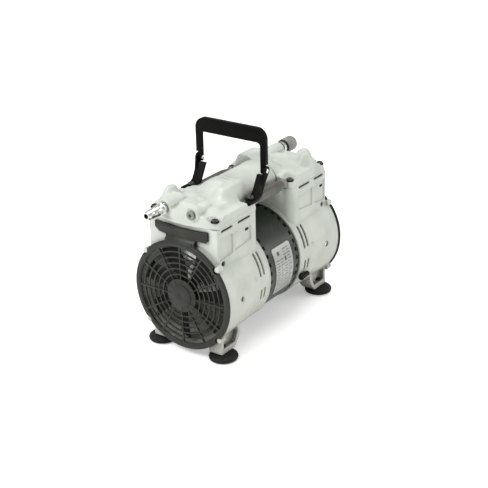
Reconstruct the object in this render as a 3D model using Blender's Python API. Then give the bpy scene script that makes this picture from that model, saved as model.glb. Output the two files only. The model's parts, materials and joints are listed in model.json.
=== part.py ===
"""Twin-head oil-free piston vacuum pump with a through-shaft motor.

Units in this file are millimetres and degrees; MM turns them into metres.
X is right, Y is along the motor shaft (front head at -Y), Z is up, floor at z = 0.
"""
import math

import bmesh
import bpy
from mathutils import Matrix, Vector

MM = 0.001
GAP = 0.3                 # clearance left between touching pieces

# overall layout
AXIS_Z = 99.0             # motor shaft height
SHELL_R = 80.0            # motor shell outside radius
BARREL_END = 42.0         # crankcase barrel, motor side
SHELL_END = BARREL_END - GAP
FAN_END = 155.0           # crankcase barrel, fan side
BULKHEAD = 51.2           # wall between motor and running gear
GUARD_R = 88.0
GUARD_FACE = 160.0
CASE_HALF = 63.8          # half width of the crankcase tower
TOWER_IN = 45.2           # tower face toward the motor
TOWER_OUT = 149.5         # tower face toward the fan
WALL = 4.0
DECK_Z = 203.0            # deck under the cylinder flange
TOWER_TOP = 212.4
BORE_Y = 100.0            # cylinder axis distance from mid plane
BORE_R = 33.0
PLATE_Z = (207.3, 212.6)  # valve plate
HEAD_Z = 212.9            # head underside
HEAD_IN, HEAD_OUT = 46.0, 146.0
BOLT_X, BOLT_IN, BOLT_OUT = 55.4, 53.6, 143.2
SEAT_Z = 225.6            # head bolt seats

# running gear
SHAFT_R = 7.5
THROW = 5.0               # eccentric throw, half the piston stroke
ROD_END_R = 29.0
DISC_TOP = 96.0           # piston disc top above the rod's big end
PISTON_R = 27.3

# feet and handle
FOOT_X, FOOT_Y, FOOT_R = 57.9, 136.3, 22.7
LEG_X, LEG_Z = 64.4, 11.6
POST_X, POST_DZ = 66.4, 57.7   # guard screw posts, from the shaft axis
PIVOT_Y, PIVOT_Z = -22.5, 266.0
BAIL_HALF, BAIL_TOP = 64.3, 331.4
LEG_W, BAIL_T, GRIP = 9.3, 7.4, 22.5
ARM_IN, ARM_OUT = 48.2, 64.6
EAR_IN = 61.0             # pivot ear of the handle arm
SOLE_Z = (225.9, 229.9)

# heads, ports, tubes and duct
RISE_Z, RIDGE_Z, HUMP_Z = 236.0, 255.0, 252.0   # plateau, inner ridge, outer hump
PORT_X, PLUG_X, PORT_Z = -30.0, 22.0, 232.0
TUBE_X, TUBE_Z, TUBE_R, NECK_R = 50.0, 222.3, 9.2, 7.0
DUCT_HALF, DUCT_SPRING, DUCT_RISE = 36.0, 222.0, 29.0


# ---------------------------------------------------------------- helpers

def clear_scene():
    for obj in list(bpy.data.objects):
        bpy.data.objects.remove(obj, do_unlink=True)


def make_material(name, rgb, rough, metal=0.0):
    mat = bpy.data.materials.new(name)
    mat.use_nodes = True
    shader = mat.node_tree.nodes["Principled BSDF"]
    shader.inputs["Base Color"].default_value = (*rgb, 1.0)
    shader.inputs["Roughness"].default_value = rough
    shader.inputs["Metallic"].default_value = metal
    mat.diffuse_color = (*rgb, 1.0)
    return mat


def make_object(name, verts, faces):
    """Closed mesh from millimetre vertices; faces are turned outward."""
    mesh = bpy.data.meshes.new(name)
    mesh.from_pydata([tuple(c * MM for c in v) for v in verts], [], faces)
    bm = bmesh.new()
    bm.from_mesh(mesh)
    bmesh.ops.recalc_face_normals(bm, faces=bm.faces)
    bm.to_mesh(mesh)
    bm.free()
    obj = bpy.data.objects.new(name, mesh)
    bpy.context.collection.objects.link(obj)
    return obj


def loft(name, rings):
    """Skin a list of equal point rings and cap both ends."""
    count = len(rings[0])
    verts = [p for ring in rings for p in ring]
    faces = []
    for i in range(len(rings) - 1):
        for j in range(count):
            k = (j + 1) % count
            a, b = i * count, (i + 1) * count
            faces.append((a + j, a + k, b + k, b + j))
    faces.append(tuple(range(count - 1, -1, -1)))
    last = (len(rings) - 1) * count
    faces.append(tuple(range(last, last + count)))
    return make_object(name, verts, faces)


def place(axis, along, u, v):
    """Point with `along` on the named axis; u, v are the other two in order."""
    if axis == "X":
        return (along, u, v)
    if axis == "Y":
        return (u, along, v)
    return (u, v, along)


def circle(axis, along, centre, radius, count, start=0.0):
    pts = []
    for i in range(count):
        a = math.radians(start) + 2 * math.pi * i / count
        pts.append(place(axis, along, centre[0] + radius * math.cos(a),
                         centre[1] + radius * math.sin(a)))
    return pts


def turned(name, axis, centre, profile, count=32, start=0.0):
    """Solid of revolution from (along, radius) pairs, capped at both ends."""
    rings = [circle(axis, a, centre, r, count, start) for a, r in profile]
    return loft(name, rings)


def ring_turned(name, axis, centre, profile, count=32):
    """Hollow ring from a closed loop of (along, radius) pairs."""
    rings = [circle(axis, a, centre, r, count) for a, r in profile]
    verts = [p for ring in rings for p in ring]
    faces = []
    for i in range(len(rings)):
        a, b = i * count, ((i + 1) % len(rings)) * count
        for j in range(count):
            k = (j + 1) % count
            faces.append((a + j, a + k, b + k, b + j))
    return make_object(name, verts, faces)


def prism(name, axis, outline, a0, a1):
    """Straight extrusion of an outline in the two other axes."""
    return loft(name, [[place(axis, a, u, v) for u, v in outline] for a in (a0, a1)])


def block(name, x, y, z):
    outline = [(x[0], y[0]), (x[1], y[0]), (x[1], y[1]), (x[0], y[1])]
    return prism(name, "Z", outline, z[0], z[1])


def rounded(x0, x1, y0, y1, r, steps=3):
    """Rounded rectangle outline."""
    pts = []
    for cx, cy, a0 in ((x1 - r, y1 - r, 0), (x0 + r, y1 - r, 90),
                       (x0 + r, y0 + r, 180), (x1 - r, y0 + r, 270)):
        for i in range(steps + 1):
            a = math.radians(a0 + 90 * i / steps)
            pts.append((cx + r * math.cos(a), cy + r * math.sin(a)))
    return pts


def boolean(target, cutters, operation):
    """Exact boolean with a list of objects, which are used up."""
    for cutter in cutters:
        mod = target.modifiers.new("bool", "BOOLEAN")
        mod.operation = operation
        mod.solver = "EXACT"
        mod.object = cutter
        depsgraph = bpy.context.evaluated_depsgraph_get()
        mesh = bpy.data.meshes.new_from_object(target.evaluated_get(depsgraph))
        target.modifiers.clear()
        old = target.data
        target.data = mesh
        bpy.data.meshes.remove(old)
        bpy.data.objects.remove(cutter, do_unlink=True)
    return target


def cut(target, *cutters):
    return boolean(target, cutters, "DIFFERENCE")


def join(target, *others):
    return boolean(target, others, "UNION")


def mirror_y(obj, side):
    """Pieces are drawn for the +Y head; side -1 flips them to the front."""
    if side < 0:
        obj.data.transform(Matrix.Scale(-1.0, 4, Vector((0, 1, 0))))
        obj.data.flip_normals()
    return obj


def finish(obj, name, material, angle=35.0, origin=None):
    """Name, clean, colour and shade one finished piece."""
    obj.name = name
    obj.data.name = name
    bm = bmesh.new()
    bm.from_mesh(obj.data)
    bmesh.ops.remove_doubles(bm, verts=bm.verts, dist=2e-6)
    bmesh.ops.dissolve_degenerate(bm, edges=bm.edges, dist=1e-6)
    bmesh.ops.triangulate(bm, faces=[f for f in bm.faces if len(f.verts) > 4])
    bmesh.ops.recalc_face_normals(bm, faces=bm.faces)
    bm.to_mesh(obj.data)
    bm.free()
    obj.data.materials.clear()
    obj.data.materials.append(material)
    obj.data.polygons.foreach_set("use_smooth", [True] * len(obj.data.polygons))
    obj.data.set_sharp_from_angle(angle=math.radians(angle))
    if origin is not None:
        shift = Vector([c * MM for c in origin])
        obj.data.transform(Matrix.Translation(-shift))
        obj.location = shift
    return obj


def side_name(side):
    return "front" if side < 0 else "rear"


# ---------------------------------------------------------------- castings

def leg(sx):
    """Leg under one side of the barrel, hollowed from its outer side."""
    outline = [(149.0, 62.0), (149.0, LEG_Z), (115.0, LEG_Z), (104.0, 24.0), (100.0, 36.0),
               (100.0, 62.0)]
    body = prism("leg", "X", outline, sx * 40.0, sx * LEG_X)
    hollow = [(143.5, 60.0), (143.5, 27.0), (112.0, 27.0), (106.0, 36.0), (106.0, 60.0)]
    return cut(body, prism("hollow", "X", hollow, sx * 54.5, sx * 70.0))


def guard_screw_posts(radius):
    """Posts round the fan end that carry the guard."""
    return [turned("post", "Y", (sx * POST_X, AXIS_Z + sz * POST_DZ),
                   [(143.0, radius), (158.0, radius)], 10) for sx in (-1, 1) for sz in (-1, 1)]


def crankcase(side, mats):
    """Barrel round the running gear, with its bulkhead, bearing hub and two legs."""
    axis = (0.0, AXIS_Z)
    body = turned("case", "Y", axis, [(BARREL_END, 82.0), (FAN_END, 86.0)], 32)
    join(body, leg(-1), leg(1), *guard_screw_posts(4.2))
    fan_room = turned("room", "Y", axis, [(BULKHEAD + WALL, 78.4), (160.0, 81.8)], 32)
    motor_room = turned("room", "Y", axis, [(38.0, 78.0), (BULKHEAD, 78.0)], 32)
    half = CASE_HALF - WALL
    top_room = block("room", (-half, half), (BULKHEAD + WALL, TOWER_OUT - WALL), (AXIS_Z, 220.0))
    cut(body, fan_room, top_room, motor_room)
    join(body, turned("hub", "Y", axis, [(47.0, 23.0), (64.0, 23.0)], 24))
    cut(body, turned("seat", "Y", axis, [(46.0, 17.8), (62.0, 17.8)], 24),
        turned("seat", "Y", axis, [(60.0, 12.0), (66.0, 12.0)], 16))
    cut(body, *barrel_openings())
    for sx in (-1, 1):
        cut(body, turned("stud", "Z", (sx * FOOT_X, FOOT_Y), [(10.0, 4.4), (24.0, 4.4)], 10))
    mirror_y(body, side)
    return finish(body, side_name(side) + "_crankcase", mats["cast_white"])


def pedestal(side, mats):
    """Square tower that stands on the barrel and carries the cylinder and its head."""
    axis = (0.0, AXIS_Z)
    outline = tower_outline(CASE_HALF, TOWER_IN, TOWER_OUT, 12.0)
    body = prism("tower", "Z", outline, AXIS_Z, TOWER_TOP)
    room = tower_outline(CASE_HALF - WALL, TOWER_IN + WALL, TOWER_OUT - WALL, 8.0)
    cut(body, prism("room", "Z", room, 90.0, DECK_Z - 6.0),
        block("pocket", (-61.6, 61.6), (55.4, 144.6), (DECK_Z, 216.0)),
        turned("bore", "Z", (0.0, BORE_Y), [(190.0, 37.3), (210.0, 37.3)], 24),
        turned("barrel", "Y", axis, [(BARREL_END - 2.0, 82.3), (FAN_END + 0.1, 86.4)], 32),
        *guard_screw_posts(4.6))
    cut(body, *tower_openings())
    for x in (-BOLT_X, BOLT_X):
        for y in (BOLT_IN, BOLT_OUT):
            cut(body, turned("tap", "Z", (x, y), [(188.0, 3.6), (216.0, 3.6)], 8))
    mirror_y(body, side)
    return finish(body, side_name(side) + "_cylinder_pedestal", mats["cast_white"])


def tower_outline(half, y0, y1, r):
    """Rectangle whose two corners at y0 are rounded."""
    pts = [(half, y1), (-half, y1)]
    for cx, a0 in ((-half + r, 180), (half - r, 270)):
        for k in range(5):
            a = math.radians(a0 + 22.5 * k)
            pts.append((cx + r * math.cos(a), y0 + r + r * math.sin(a)))
    return pts


def tower_openings():
    """Side holes and the slots under the head's side edges."""
    cutters = []
    for sx in (-1, 1):
        for y0, y1 in ((66.0, 100.0), (110.0, 141.0)):
            cutters.append(block("dash", tuple(sorted((sx * 60.0, sx * 66.0))), (y0, y1),
                                 (209.4, 216.0)))
        cutters.append(turned("hole", "X", (137.0, 158.5),
                              [(sx * 55.0, 4.2), (sx * 70.0, 4.2)], 10))
    return cutters


def barrel_openings():
    """Curved vent slots at the motor end and one round hole on each side."""
    cutters = []
    for sx in (-1, 1):
        for low, high in ((10, 37), (-17, -4)):
            for y in (56.0, 65.0):
                pts = []
                for r, angles in ((72.0, (low, (low + high) / 2, high)),
                                  (92.0, (high, (low + high) / 2, low))):
                    for a in angles:
                        pts.append((sx * r * math.cos(math.radians(a)),
                                    AXIS_Z + r * math.sin(math.radians(a))))
                cutters.append(prism("vent", "Y", pts, y, y + 3.2))
        cutters.append(turned("hole", "X", (119.5, 99.0),
                              [(sx * 74.0, 4.2), (sx * 95.0, 4.2)], 10))
    return cutters


def head_edge(x):
    """Outer edge of the head flange, bulging outward at mid width."""
    return HEAD_OUT + 9.0 * max(0.0, 1.0 - (x / 60.0) ** 2)


def tapered(name, low, high, z0, z1, r=8.0):
    """Block with rounded corners that narrows from outline low to outline high."""
    return loft(name, [[(x, y, z0) for x, y in rounded(*low, r)],
                       [(x, y, z1) for x, y in rounded(*high, r * 0.6)]])


def head_lumps(turn):
    """Raised plateau, inner ridge and outer hump; turn -1 swaps left and right."""
    lumps = []
    for low, high, top in (((-54, 50, 50, 140), (-46, 42, 56, 132), RISE_Z),
                           ((6, 48, HEAD_IN + 0.6, 112), (13, 43, HEAD_IN + 0.6, 98), RIDGE_Z),
                           ((-62, -30, 90, 146), (-56, -37, 100, 134), HUMP_Z)):
        low, high = [(o if turn > 0 else (-o[1], -o[0], o[2], o[3])) for o in (low, high)]
        lumps.append(tapered("lump", low, high, SEAT_Z - 2.0, top))
    return lumps


def cylinder_head(side, mats):
    """The same casting on both ends, turned half round, with its port boss at the left."""
    xs = [CASE_HALF - 2 * CASE_HALF * i / 12 for i in range(13)]
    inner = tower_outline(CASE_HALF, HEAD_IN, HEAD_OUT, 9.0)[2:]
    body = prism("head", "Z", inner + [(x, head_edge(x)) for x in xs], HEAD_Z, SEAT_Z)
    boss = turned("boss", "Y", (PORT_X, PORT_Z), [(112.0, 12.0), (153.0, 12.0)], 16)
    second = turned("boss", "Y", (PLUG_X, PORT_Z), [(112.0, 11.0), (149.0, 11.0)], 14)
    throat = loft("throat", [arch(HEAD_IN + 0.3, DUCT_HALF, DUCT_RISE, HEAD_Z + 2.0),
                             arch(62.0, DUCT_HALF - 1.0, DUCT_RISE - 1.5, HEAD_Z + 2.0),
                             arch(88.0, DUCT_HALF - 8.0, 9.0, HEAD_Z + 2.0)])
    join(body, throat, *head_lumps(-side), boss, second)
    for x0, x1 in ((-44.0, -4.0), (2.0, 44.0)):
        span = tuple(sorted((-side * x0, -side * x1)))
        cut(body, block("chamber", span, (64.0, 130.0), (200.0, HEAD_Z + 9.0)))
    cut(body, turned("port", "Y", (PORT_X, PORT_Z), [(122.0, 8.4), (160.0, 8.4)], 16),
        turned("drop", "Z", (PORT_X, 124.0), [(205.0, 6.0), (232.0, 6.0)], 10))
    for x in (-BOLT_X, BOLT_X):
        for y in (BOLT_IN, BOLT_OUT):
            cut(body, turned("bolt", "Z", (x, y), [(205.0, 3.7), (240.0, 3.7)], 8),
                turned("spot", "Z", (x, y), [(SEAT_Z - 1.5, 7.0), (262.0, 7.0)], 14))
    cut(body, turned("way", "Y", (TUBE_X, TUBE_Z - 2.5), [(40.0, 3.0), (70.0, 3.0)], 6),
        block("link", (40.0, 51.0), (65.5, 71.0), (216.5, 221.5)))
    if side < 0:
        cut(body, turned("plug", "Y", (PLUG_X, PORT_Z), [(140.0, 5.5), (170.0, 5.5)], 12))
        for x0, x1 in ((-70.0, -46.8), (46.8, 70.0)):
            cut(body, block("arm seat", (x0, x1), (40.0, 69.6), (SEAT_Z - 0.2, 262.0)))
    mirror_y(body, side)
    return finish(body, side_name(side) + "_cylinder_head", mats["cast_white"], 30.0)


def cylinder(side, mats):
    body = ring_turned("cyl", "Z", (0.0, BORE_Y),
                       [(150.0, BORE_R), (206.9, BORE_R), (206.9, 42.0), (DECK_Z + GAP, 42.0),
                        (DECK_Z + GAP, 36.8), (150.0, 36.8)], 24)
    mirror_y(body, side)
    return finish(body, side_name(side) + "_cylinder", mats["aluminium"])


def valve_plate(side, mats):
    z0, z1 = PLATE_Z
    body = prism("plate", "Z", rounded(-61.0, 61.0, 56.0, 144.0, 5.0), z0, z1)
    span = tuple(sorted((side * 29.5, side * 2.0)))
    recess = block("recess", span, (BORE_Y - 7.5, BORE_Y + 7.5), (z0 - 1, z0 + 1.8))
    cut(body, recess)
    for x in (-8.0, 8.0):
        cut(body, turned("hole", "Z", (x, BORE_Y), [(z0 - 1, 3.6), (z1 + 1, 3.6)], 10))
    for x in (-BOLT_X, BOLT_X):
        for y in (62.0, 138.0):
            cut(body, turned("dowel", "Z", (x, y), [(z0 - 1, 2.0), (z1 + 1, 2.0)], 6))
        for y in (BOLT_IN, BOLT_OUT):
            cut(body, turned("bolt", "Z", (x, y), [(z0 - 1, 4.4), (z1 + 1, 4.4)], 10))
    mirror_y(body, side)
    return finish(body, side_name(side) + "_valve_plate", mats["aluminium"])


def reed(side, kind, mats):
    """Thin steel flap, hinged at its clamped root; the rear pair is turned half round."""
    if kind == "intake":
        turn, z = side, PLATE_Z[0] + 0.9
    else:
        turn, z = -side, PLATE_Z[1] + GAP
    root, tip, half = 27.0, 4.0, 5.5
    outline = [(root, -4.5), (root, 4.5)]
    for k in range(7):
        a = math.radians(90 - 30 * k)
        outline.append((tip + half - half * math.cos(a), half * math.sin(a)))
    body = prism("reed", "Z", [(turn * x, y + BORE_Y) for x, y in outline], z, z + 0.5)
    mirror_y(body, side)
    return finish(body, side_name(side) + "_" + kind + "_reed", mats["spring_steel"],
                  origin=(turn * root, side * BORE_Y, z + 0.25))


def arch(y, half, rise, foot_z):
    """Half ellipse over two straight feet, as a ring of points at one Y."""
    ring = [(half, y, foot_z)]
    for k in range(13):
        a = math.radians(15 * k)
        ring.append((half * math.cos(a), y, DUCT_SPRING + rise * math.sin(a)))
    return ring + [(-half, y, foot_z)]


def crossover_duct(mats):
    """Arched cover between the two heads."""
    end = HEAD_IN - GAP
    body = loft("duct", [arch(y, DUCT_HALF, DUCT_RISE, 214.0) for y in (-end, end)])
    inner = [arch(y, DUCT_HALF - 3.5, DUCT_RISE - 3.5, 210.0) for y in (-60.0, 60.0)]
    cut(body, loft("inner", inner))
    return finish(body, "crossover_duct", mats["cast_white"])


# ---------------------------------------------------------------- outside pieces

def transfer_tube(sx, mats):
    end = HEAD_IN - GAP
    body = ring_turned("tube", "Y", (sx * TUBE_X, TUBE_Z),
                       [(-end, 5.4), (end, 5.4), (end, NECK_R), (35.4, NECK_R), (22.0, TUBE_R),
                        (-22.0, TUBE_R), (-35.4, NECK_R), (-end, NECK_R)], 18)
    return finish(body, ("left" if sx < 0 else "right") + "_transfer_tube", mats["brown_metal"])


def polar_solid(name, thetas, radii, levels, solid):
    """Wheel made of the polar cells (column, row, layer) where solid() is true."""
    count, rows, layers = len(thetas), len(radii) - 1, len(levels) - 1
    cells = {(i, j, k) for i in range(count) for j in range(rows) for k in range(layers)
             if solid(i, j, k)}
    index, verts, faces = {}, [], []

    def vert(i, j, k):
        key = ((i % count) if radii[j] > 0 else 0, j, k)
        if key not in index:
            a = thetas[i % count]
            index[key] = len(verts)
            verts.append((radii[j] * math.sin(a), levels[k], AXIS_Z + radii[j] * math.cos(a)))
        return index[key]

    def add(*corners):
        ring = tuple(dict.fromkeys(vert(*c) for c in corners))
        if len(ring) > 2:
            faces.append(ring)

    for i, j, k in sorted(cells):
        for near, layer in ((k - 1, k), (k + 1, k + 1)):
            if (i, j, near) not in cells:
                add((i, j, layer), (i + 1, j, layer), (i + 1, j + 1, layer), (i, j + 1, layer))
        for near, row in ((j - 1, j), (j + 1, j + 1)):
            if (i, near, k) not in cells and radii[row] > 0:
                add((i, row, k), (i + 1, row, k), (i + 1, row, k + 1), (i, row, k + 1))
        for near, column in ((i - 1, i), (i + 1, i + 1)):
            if (near % count, j, k) not in cells:
                add((column, j, k), (column, j + 1, k), (column, j + 1, k + 1), (column, j, k + 1))
    return make_object(name, verts, faces)


def fan_guard(side, mats):
    """Spoked grille with a deep rim, an air scoop and four screw notches."""
    thetas = []
    for k in range(12):
        for step in (-1.3, 1.3):
            thetas.append(math.radians(30 * k + step))
    radii = [0.0, 26.4]
    for k in range(6):
        radii += [33.0 + 9.0 * k, 35.8 + 9.0 * k]
    radii[-1] = 82.0
    body = polar_solid("guard", thetas, radii, [156.6, GUARD_FACE - 0.4],
                       lambda i, j, k: i % 2 == 0 or j % 2 == 0)
    rim = ring_turned("rim", "Y", (0.0, AXIS_Z),
                      [(156.4, 78.2), (GUARD_FACE, 78.2), (GUARD_FACE, 86.6), (158.8, GUARD_R),
                       (FAN_END + GAP, GUARD_R), (FAN_END + GAP, 84.2), (156.4, 84.2)], 48)
    join(body, rim, air_scoop())
    notches = []
    for x in (-POST_X, POST_X):
        for z in (-POST_DZ, POST_DZ):
            notches.append(turned("notch", "Y", (x, AXIS_Z + z), [(140.0, 5.5), (165.0, 5.5)], 8))
    cut(body, *notches)
    mirror_y(body, side)
    return finish(body, side_name(side) + "_fan_guard", mats["guard_plastic"], 30.0)


def air_scoop():
    """Wide plate that rises from the rim and steps back to the tower."""
    sheet = prism("scoop", "X", [(159.0, 180.0), (159.0, 186.0), (155.0, 191.0), (153.4, 194.0),
                                 (153.4, 210.0), (149.8, 210.0), (149.8, 190.6), (155.5, 186.2),
                                 (155.5, 180.0)], -50.0, 50.0)
    shape = prism("shape", "Y", [(-26, 170), (26, 170), (26, 192.5), (48, 192.5), (48, 209.0),
                                 (0, 206.8), (-48, 209.0), (-48, 198), (-40, 192.5),
                                 (-26, 192.5)], 140.0, 170.0)
    return boolean(sheet, [shape], "INTERSECT")


def foot(sx, side, mats):
    name = ("left_" if sx < 0 else "right_") + side_name(side) + "_foot"
    body = turned("foot", "Z", (sx * FOOT_X, side * FOOT_Y),
                  [(0.0, 19.5), (1.5, 21.8), (5.0, FOOT_R), (9.0, 19.5),
                   (11.3, 12.0), (11.3, 3.9), (22.0, 3.9)], 18)
    return finish(body, name, mats["rubber"])


def hose_barb(mats):
    profile = [(124.0, 7.9), (155.6, 7.9), (155.6, 9.6), (160.0, 9.6), (160.6, 7.4), (168.0, 6.6),
               (168.0, 8.4), (176.0, 6.6), (176.0, 8.0), (184.0, 6.2), (184.0, 7.4), (193.0, 5.6),
               (193.0, 3.8), (124.0, 3.8)]
    body = ring_turned("barb", "Y", (PORT_X, PORT_Z), profile, 14)
    mirror_y(body, -1)
    return finish(body, "inlet_hose_barb", mats["nickel"])


def exhaust_muffler(mats):
    profile = [(124.0, 7.9), (156.0, 7.9), (156.0, 10.4), (165.0, 10.4), (166.5, 12.4),
               (191.0, 12.4), (193.0, 11.0), (193.0, 8.0), (187.0, 8.0), (187.0, 4.0), (124.0, 4.0)]
    body = ring_turned("muffler", "Y", (PORT_X, PORT_Z), profile, 16)
    return finish(body, "exhaust_muffler", mats["sintered"])


def port_plug(mats):
    profile = [(143.0, 5.0), (155.6, 5.0), (155.6, 6.8), (158.0, 6.8)]
    body = turned("plug", "Y", (PLUG_X, PORT_Z), profile, 14)
    cut(body, turned("socket", "Y", (PLUG_X, PORT_Z), [(154.5, 3.2), (165.0, 3.2)], 6))
    mirror_y(body, -1)
    return finish(body, "port_plug", mats["steel"])


def motor_shell(mats):
    body = ring_turned("shell", "Y", (0.0, AXIS_Z),
                       [(-SHELL_END, 77.6), (SHELL_END, 77.6), (SHELL_END, SHELL_R),
                        (-SHELL_END, SHELL_R)], 36)
    cutters = []
    for k in range(12):
        a = math.radians(30 * k + 5)
        for y in (-36.0, 36.0):
            c, s = math.cos(a), math.sin(a)
            pts = []
            for r, w in ((72.0, -3.4), (86.0, -3.4), (86.0, 3.4), (72.0, 3.4)):
                pts.append((r * c - w * s, AXIS_Z + r * s + w * c))
            cutters.append(prism("vent", "Y", pts, y - 2.2, y + 2.2))
    cut(body, *cutters)
    return finish(body, "motor_shell", mats["motor_paint"])


def nameplate(mats):
    pts_out, pts_in = [], []
    for k in range(11):
        a = math.radians(-27 + 5.6 * k)
        pts_out.append((80.9 * math.cos(a), AXIS_Z + 80.9 * math.sin(a)))
        pts_in.append((80.25 * math.cos(a), AXIS_Z + 80.25 * math.sin(a)))
    body = prism("plate", "Y", pts_out + pts_in[::-1], -24.0, 24.0)
    return finish(body, "nameplate", mats["label"])


def strain_relief(mats):
    a = math.radians(-21.0)
    centre = (87.6 * math.cos(a), AXIS_Z + 87.6 * math.sin(a))
    profile = [(43.4, 4.2), (44.0, 5.4), (48.0, 5.4), (48.6, 4.2), (51.4, 4.2), (52.0, 5.2),
               (56.0, 5.2), (56.6, 4.0), (59.4, 4.0), (60.0, 4.8), (63.6, 4.8), (64.2, 4.0)]
    body = turned("relief", "Y", centre, profile, 12)
    return finish(body, "cord_strain_relief", mats["rubber"])


def head_bolt(sx, side, inner, mats):
    y = BOLT_IN if inner else BOLT_OUT
    raised = inner and side < 0
    seat = SOLE_Z[1] + GAP if raised else SEAT_Z - 1.2
    body = turned("bolt", "Z", (sx * BOLT_X, y),
                  [(199.0, 3.1), (seat, 3.1), (seat, 6.4), (seat + 4.2, 6.0)], 14)
    cut(body, turned("socket", "Z", (sx * BOLT_X, y), [(seat + 1.8, 3.0), (seat + 9, 3.0)], 6))
    mirror_y(body, side)
    place_name = ("left_" if sx < 0 else "right_") + side_name(side)
    return finish(body, place_name + ("_inner" if inner else "_outer") + "_head_bolt",
                  mats["dark_steel"])


# ---------------------------------------------------------------- handle

def arm_line(z):
    """Y of the front of the leaning strap at height z."""
    return -24.3 - (261.2 - z) * 0.55


def handle_arm(sx, mats):
    """Leaning strap on a bolted sole, with an ear beside the bail for the pivot."""
    low, top, thick = SOLE_Z[1] - GAP, 258.5, 4.6
    strap = [(-48.0, SOLE_Z[1]), (arm_line(234.0), 234.0),
             (arm_line(top), top), (arm_line(top) + thick, top), (arm_line(low) + thick, low),
             (-46.4, low)]
    body = prism("strap", "X", strap, sx * ARM_IN, sx * ARM_OUT)
    corners = [(ARM_IN, -46.2), (ARM_OUT, -46.2), (ARM_OUT, -68.5), (61.0, -68.5),
               (ARM_IN, -57.0)]
    sole = prism("sole", "Z", [(sx * x, y) for x, y in corners], *SOLE_Z)
    ear = [(arm_line(247.0), 247.0), (arm_line(247.0) + thick, 247.0)]
    for k in range(8):
        a = math.radians(-35 + 30 * k)
        ear.append((PIVOT_Y + 7.2 * math.cos(a), PIVOT_Z + 7.2 * math.sin(a)))
    heel = [(-50.0, 226.2), (-43.0, 226.2), (-38.4, 230.4), (-50.0, 229.4)]
    join(body, sole, prism("heel", "X", heel, sx * 57.8, sx * (ARM_OUT - 0.3)),
         prism("ear", "X", ear, sx * EAR_IN, sx * (ARM_OUT - 0.2)))
    cut(body, turned("hole", "Z", (sx * BOLT_X, -BOLT_IN), [(220.0, 3.5), (235.0, 3.5)], 12),
        turned("pin", "X", (PIVOT_Y, PIVOT_Z), [(sx * 55.0, 2.9), (sx * 70.0, 2.9)], 12))
    return finish(body, ("left" if sx < 0 else "right") + "_handle_arm", mats["black_metal"])


def bail_path():
    """Outline of the upright bail in X and Z, round at the outer corners."""
    top, half, r = BAIL_TOP, BAIL_HALF, 17.0
    outer = []
    for cx, a0 in ((half - r, 0), (-half + r, 90)):
        for i in range(7):
            a = math.radians(a0 + 15 * i)
            outer.append((cx + r * math.cos(a), top - r + r * math.sin(a)))
    inner_half, inner_top, q = half - LEG_W, top - GRIP, 6.0
    inner = []
    for cx, a0 in ((-inner_half + q, 180), (inner_half - q, 90)):
        for i in range(4):
            a = math.radians(a0 - 30 * i)
            inner.append((cx + q * math.cos(a), inner_top - q + q * math.sin(a)))
    return outer, inner


def handle_bail(mats):
    outer, inner = bail_path()
    base = PIVOT_Z + 9.5
    outline = [(BAIL_HALF, base)] + outer + [(-BAIL_HALF, base), (-BAIL_HALF + LEG_W, base)]
    outline += inner + [(BAIL_HALF - LEG_W, base)]
    y0, y1 = PIVOT_Y - BAIL_T / 2, PIVOT_Y + BAIL_T / 2
    body = prism("bail", "Y", outline, y0, y1)
    for sx in (-1, 1):
        tab = [(y0, base + 4.0), (y1, base + 4.0)]
        for k in range(7):
            a = math.radians(-30 * k)
            tab.append((PIVOT_Y + BAIL_T / 2 * math.cos(a), PIVOT_Z - 2 + 4 * math.sin(a)))
        join(body, prism("tab", "X", tab, sx * (BAIL_HALF - LEG_W), sx * (EAR_IN - GAP)))
        cut(body, turned("pin", "X", (PIVOT_Y, PIVOT_Z),
                         [(sx * 45.0, 2.9), (sx * 66.0, 2.9)], 16))
    return finish(body, "handle_bail", mats["black_metal"], origin=(0, PIVOT_Y, PIVOT_Z))


def pivot_rivet(sx, mats):
    profile = [(53.3, 3.0), (54.7, 3.4), (54.7, 2.5), (64.9, 2.5), (64.9, 3.4), (66.2, 3.0)]
    body = turned("rivet", "X", (PIVOT_Y, PIVOT_Z), [(sx * a, r) for a, r in profile], 14)
    return finish(body, ("left" if sx < 0 else "right") + "_pivot_rivet", mats["nickel"])


# ---------------------------------------------------------------- motor and running gear

def stator_core(mats):
    body = ring_turned("core", "Y", (0.0, AXIS_Z), [(-27, 48.0), (27, 48.0), (27, 77.2),
                                                   (-27, 77.2)], 24)
    cutters = []
    for k in range(12):
        a = math.radians(30 * k + 15)
        cutters.append(turned("slot", "Y", (61 * math.cos(a), AXIS_Z + 61 * math.sin(a)),
                              [(-40, 5.0), (40, 5.0)], 4))
    cut(body, *cutters)
    return finish(body, "stator_core", mats["lamination"])


def stator_winding(mats):
    """Both end turns joined by the coil sides that lie in the core slots."""
    body = ring_turned("coil", "Y", (0.0, AXIS_Z),
                       [(27.4, 52.0), (37.0, 52.0), (37.0, 70.0), (27.4, 70.0)], 20)
    far = ring_turned("coil", "Y", (0.0, AXIS_Z),
                      [(-27.4, 52.0), (-37.0, 52.0), (-37.0, 70.0), (-27.4, 70.0)], 20)
    bars = []
    for k in range(12):
        a = math.radians(30 * k + 15)
        bars.append(turned("bar", "Y", (61 * math.cos(a), AXIS_Z + 61 * math.sin(a)),
                           [(-29, 4.0), (29, 4.0)], 4))
    join(body, far, *bars)
    return finish(body, "stator_winding", mats["copper"])


def main_bearing(side, mats):
    body = ring_turned("bearing", "Y", (0.0, AXIS_Z),
                       [(50.5, SHAFT_R + 0.3), (61.2, SHAFT_R + 0.3), (60.6, 12.5),
                        (61.2, 17.4), (50.5, 17.4)], 18)
    mirror_y(body, side)
    return finish(body, side_name(side) + "_main_bearing", mats["steel"])


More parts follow.
